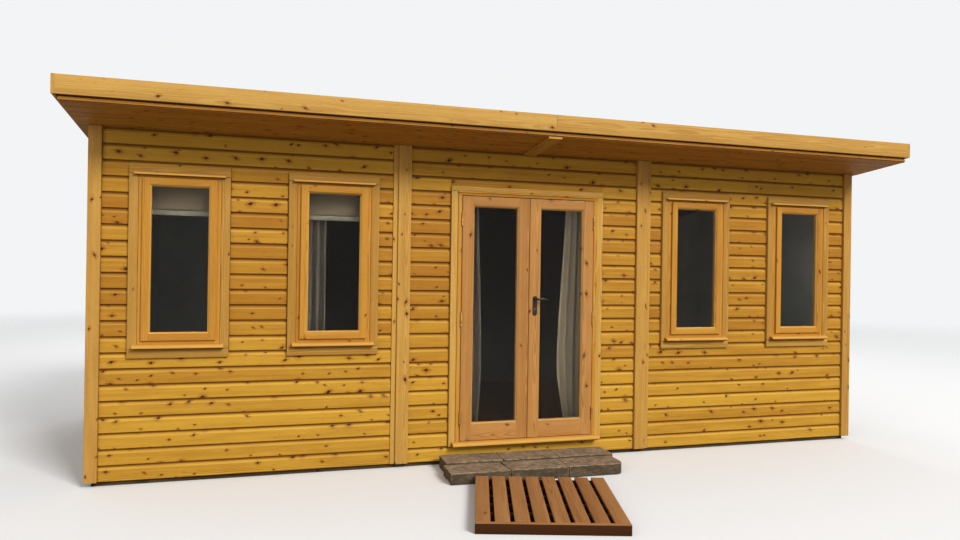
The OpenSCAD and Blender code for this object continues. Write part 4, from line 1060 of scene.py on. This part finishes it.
# Roller blinds. A cloth wound on a tube behind the head of each left window, let down a
# hand's breadth, with a flat bar at its hem and a bracket at each end.
blind_cloth = cloth_finish("blind cloth", (121, 103, 81), (100, 84, 64))
enamel = metal_finish("pale enamel", (133, 124, 106), (118, 109, 91), 0.35, 0.5, 0.0)
tube_r, roll_r, turns, blind_w, blind_drop, blind_t = 0.0093, 0.0165, 13, 0.450, 0.218, 0.0004
inner_y, roll_y, roll_z = -1.385, -1.364, 2.010
bar_h, bar_t, bar_out, cap_gap = 0.032, 0.0055, 0.002, 0.0006
bracket_w, bracket_h, bracket_d = 0.003, 0.034, 0.038
wound, hanging, columns, cloth_wave = turns * 24, 12, 6, 0.0004
fittings = new_mesh()
for side, x in zip(("outer", "inner"), window_places):
    bm = new_mesh()
    grain_layer = bm.verts.layers.float_vector["grain"]
    line = []
    for i in range(wound + 1):
        a, r = math.pi - 2 * math.pi * turns * (1 - i / wound), tube_r + (roll_r - tube_r) * i / wound
        line.append((roll_y + r * math.cos(a), roll_z + r * math.sin(a)))
    line += [(roll_y - roll_r + cloth_wave * math.sin(3.1 * i / hanging), roll_z - blind_drop * i / hanging)
             for i in range(1, hanging + 1)]
    grid, run, last = [], 0.0, line[0]
    for y, z in line:
        run += math.dist((y, z), last)
        last = (y, z)
        grid.append([bm.verts.new((x + blind_w * (c / columns - 0.5), y, z)) for c in range(columns + 1)])
        for c, vert in enumerate(grid[-1]):
            vert[grain_layer] = (blind_w * c / columns, run, 0)
    skin(bm, grid)
    piece = make_piece(side + "_blind_cloth", bm, blind_cloth, "blind_cloth", "roller_blinds", angle=180)
    thicken(piece, blind_t)
    start = (x - blind_w / 2, roll_y - roll_r - bar_out, roll_z - blind_drop - bar_h)
    lay_timber(fittings, start, X, Z, Y, blind_w, rectangle(bar_h, bar_t, 0.002))
    rod(fittings, [Vector((x + end * blind_w / 2, roll_y, roll_z)) for end in (-1, 1)],
        [(tube_r - cap_gap, tube_r - cap_gap)] * 2, 24)
    for end in (-1, 1):
        start = (x + end * (blind_w + bracket_w) / 2 - bracket_w / 2, inner_y, roll_z - bracket_h / 2)
        lay_timber(fittings, start, X, Z, Y, bracket_w, rectangle(bracket_h, bracket_d, 0.006))
make_piece("blind_fittings", fittings, enamel, "blind_cloth")


# Doorstep. Six solid concrete blocks in two rows, laid dry on the ground, the front row sunk a
# little. Their sides are darkened as painted shade, and their worn arrises carry a painted highlight.
concrete, tree, surface = new_material("weathered concrete")
place = place_in(tree)
sand = clouds(scaled(place, 420, 420, 420), 3.0, 0.6)
stain = ramp(clouds(scaled(place, 9, 9, 14), 5.0, 0.6), 0.35, 0.65)
algae = ramp(clouds(scaled(place, 4, 4, 9), 4.0), 0.5, 0.7)
scuffs = clouds(scaled(place, 26, 95, 95), 4.0, 0.65)
facing = split(put(tree, "NewGeometry").outputs["Normal"])["Z"]
# Painted shade: faces that turn from the sky are darkened.
painted_side_shade = times(ramp(facing, 0.8, 0.3, 0.0, 0.86), ramp(stain, 0.0, 1.0, 0.8, 1.0))
# Painted highlight along the arrises.
painted_arris_highlight = times(attribute(tree, "tone"), ramp(scuffs, 0.6, 0.4, 0.1, 0.75))
cement = colours(stain, srgb(150, 124, 96), srgb(118, 96, 72))
for share, colour in ((times(speckle(place, 0.006), 0.3), srgb(92, 76, 58)),
                      (ramp(sand, 0.55, 0.75, 0.0, 0.35), srgb(182, 164, 138)),
                      (times(algae, 0.3), srgb(84, 76, 48)),
                      (ramp(scuffs, 0.5, 0.62, 0.0, 0.7), srgb(76, 58, 37)),
                      (ramp(scuffs, 0.46, 0.34, 0.0, 0.6), srgb(196, 171, 136)),
                      (painted_side_shade, srgb(56, 43, 22)),
                      (painted_arris_highlight, srgb(188, 164, 130))):
    cement = colours(share, cement, colour)
fill_in(surface, {"Base Color": cement, "Normal": relief(times(scuffs, 1.5, sand), 0.9, 0.003),
                  "Roughness": 0.95})
block_l, block_d, block_h, block_gap, worn_r, blunt_r = 0.418, 0.226, 0.088, 0.004, 0.006, 0.065
front_row_drop, row_gap, step_gap, back_row_x, front_row_x = 0.010, 0.014, 0.054, -0.055, -0.080
arris_steps, edge_zone, block_pitch = [0, 0.002, 0.005, 0.009, 0.014, 0.022], 0.022, 0.016
chip, pit, foot_z, askew = 0.020, 0.0016, 0.03, math.radians(-1.2)


def block(bm, low, high, blunt, seed):
    """A cast block with rounded, uneven arrises and shallow pits, inside two corners.

    Its front right corner may be blunt."""
    low, high = Vector(low), Vector(high)
    arris_highlight_layer = bm.verts.layers.float["tone"]
    lines = []
    for a, b in zip(low, high):
        middle = b - a - 2 * edge_zone
        count = int(middle / block_pitch)
        between = [edge_zone + middle * k / count for k in range(1, count)]
        lines.append([a + t for t in arris_steps + between] + [b - t for t in reversed(arris_steps)])
    last = [len(line) - 1 for line in lines]
    verts = {}

    def vert(key):
        if key not in verts:
            p = Vector(lines[axis][key[axis]] for axis in range(3))
            wear = worn_r * (0.7 + 0.9 * max(0, noise.noise(p * 9 + Vector((seed, 0, 0)))))
            wear += chip * max(0, noise.noise(p * 5 + Vector((0, seed * 3.7, 0))) - 0.35) * 3
            inner = Vector(min(max(p[axis], low[axis] + wear), high[axis] - wear) for axis in range(3))
            away = p - inner
            if away.length > 1e-6:
                p = inner + away.normalized() * min(away.length, wear)
                p -= away.normalized() * pit * (0.5 + 0.5 * noise.noise(p * 60)) * (p.z > 0.001)
            steps_in = sorted(min(key[axis], last[axis] - key[axis]) for axis in range(3))[1]
            verts[key] = bm.verts.new(p)
            # Points near an arris above the foot are marked for a painted highlight.
            verts[key][arris_highlight_layer] = max(0.0, 1.0 - steps_in / 3) if p.z > foot_z else 0.0
            corner = Vector((high.x - blunt, low.y + blunt))
            out = p.xy - corner
            if out.x > 0 > out.y:
                verts[key].co.xy = corner + out * max(abs(out.x), abs(out.y)) / out.length
        return verts[key]

    for axis in range(3):
        u, v = [a for a in range(3) if a != axis]
        for end in (0, last[axis]):
            for i in range(last[u]):
                for j in range(last[v]):
                    keys = []
                    for du, dv in ((0, 0), (1, 0), (1, 1), (0, 1)):
                        key = [0, 0, 0]
                        key[axis], key[u], key[v] = end, i + du, j + dv
                        keys.append(tuple(key))
                    bm.faces.new([vert(k) for k in keys])


bm = new_mesh()
row_l = 3 * block_l + 2 * block_gap
step_back = trim_y - step_gap
step_rows = ((back_row_x, step_back, block_h),
             (front_row_x, step_back - block_d - row_gap, block_h - front_row_drop))
for row, (middle, back, tall) in enumerate(step_rows):
    for i in range(3):
        x = middle - row_l / 2 + i * (block_l + block_gap)
        blunt = blunt_r if (row, i) == (1, 2) else 0.0
        block(bm, (x, back - block_d, 0), (x + block_l, back, tall), blunt, 3.3 * row + 1.7 * i)
bmesh.ops.rotate(bm, verts=bm.verts, cent=(0, step_back, 0), matrix=Matrix.Rotation(askew, 3, "Z"))
make_piece("step_blocks", bm, concrete, "concrete", "doorstep", angle=50)


# Duckboard. Eight planed slats run back from a deeper front rail over six bearers, nailed to the end two.
# It is stained brown, with the slats' sides and the rail's face darkened as painted shade, and lies
# loose on the ground at a slant.
slat_pine = timber("stained slats", (164, 116, 70), (128, 82, 43), (70, 38, 18),
                   {"Knot Share": 0.08, "Ring Strength": 0.45, "Tone Spread": 0.4}, 0.65)
# The bearers are stained dark, and the same finish darkens the rail's face as painted shade.
bearer_stain_and_shade = timber("stained and shaded bearers", (68, 35, 12), (48, 24, 9), (28, 14, 6), {"Knot Share": 0.1}, 0.7)
board_w, board_l, slat_w, slat_t, slat_count = 0.850, 0.920, 0.085, 0.020, 8
bearer_w, bearer_h, bearer_count, rail_t = 0.045, 0.040, 6, 0.028
lit_top_t, nail_edge, fit_gap, board_x, slant = 0.005, 0.022, 0.0004, -0.557, math.radians(-17)
corner = Vector((board_x, step_back - 2 * block_d - row_gap - block_gap, 0))
swing = Matrix.Rotation(slant, 3, "Z")
along_slat, across_slat = swing @ -Y, swing @ X
pitch = slat_w + (board_w - slat_count * slat_w) / (slat_count - 1)
slat_l, top_z = board_l - rail_t, bearer_h + slat_t
slats, bearers, slat_nails = new_mesh(), new_mesh(), new_mesh()
# The slats' sides and undersides take painted shade; the top keeps the plain stain.
slat_section = [(w, d, 0.0 if d < lit_top_t else 1.0) for w, d in rectangle(slat_w, slat_t, 0.003)]
bearer_places = [(slat_l - bearer_w) * i / (bearer_count - 1) for i in range(bearer_count)]
for i in range(slat_count):
    start = corner + across_slat * pitch * i + Z * top_z
    lay_timber(slats, start, along_slat, across_slat, -Z, slat_l - fit_gap, slat_section, ease=0.002)
    for along in bearer_places[::bearer_count - 1]:
        for across in (nail_edge, slat_w - nail_edge):
            nail(slat_nails, start + along_slat * (along + bearer_w / 2) + across_slat * across, Z)
for along in bearer_places:
    lay_timber(bearers, corner + along_slat * along + Z * bearer_h, across_slat, along_slat, -Z, board_w,
               rectangle(bearer_w, bearer_h - fit_gap, 0.002))
# The front rail's top is laid in the slat finish and its face in the darker bearer finish, as painted shade.
start = corner + along_slat * slat_l + Z * top_z
lay_timber(slats, start, across_slat, along_slat, -Z, board_w,
           rectangle(rail_t, lit_top_t - fit_gap / 2, 0.002), ease=0.002)
lay_timber(bearers, start - Z * lit_top_t, across_slat, along_slat, -Z, board_w,
           rectangle(rail_t, top_z - lit_top_t, 0.001), ease=0.001)
make_piece("duckboard_slats", slats, slat_pine, "slats", "duckboard")
make_piece("duckboard_bearers", bearers, bearer_stain_and_shade, "slats", "duckboard")
make_piece("duckboard_nails", slat_nails, steel, "hinge_metal")
make_piece("nail_heads", nails, steel, "hinge_metal")
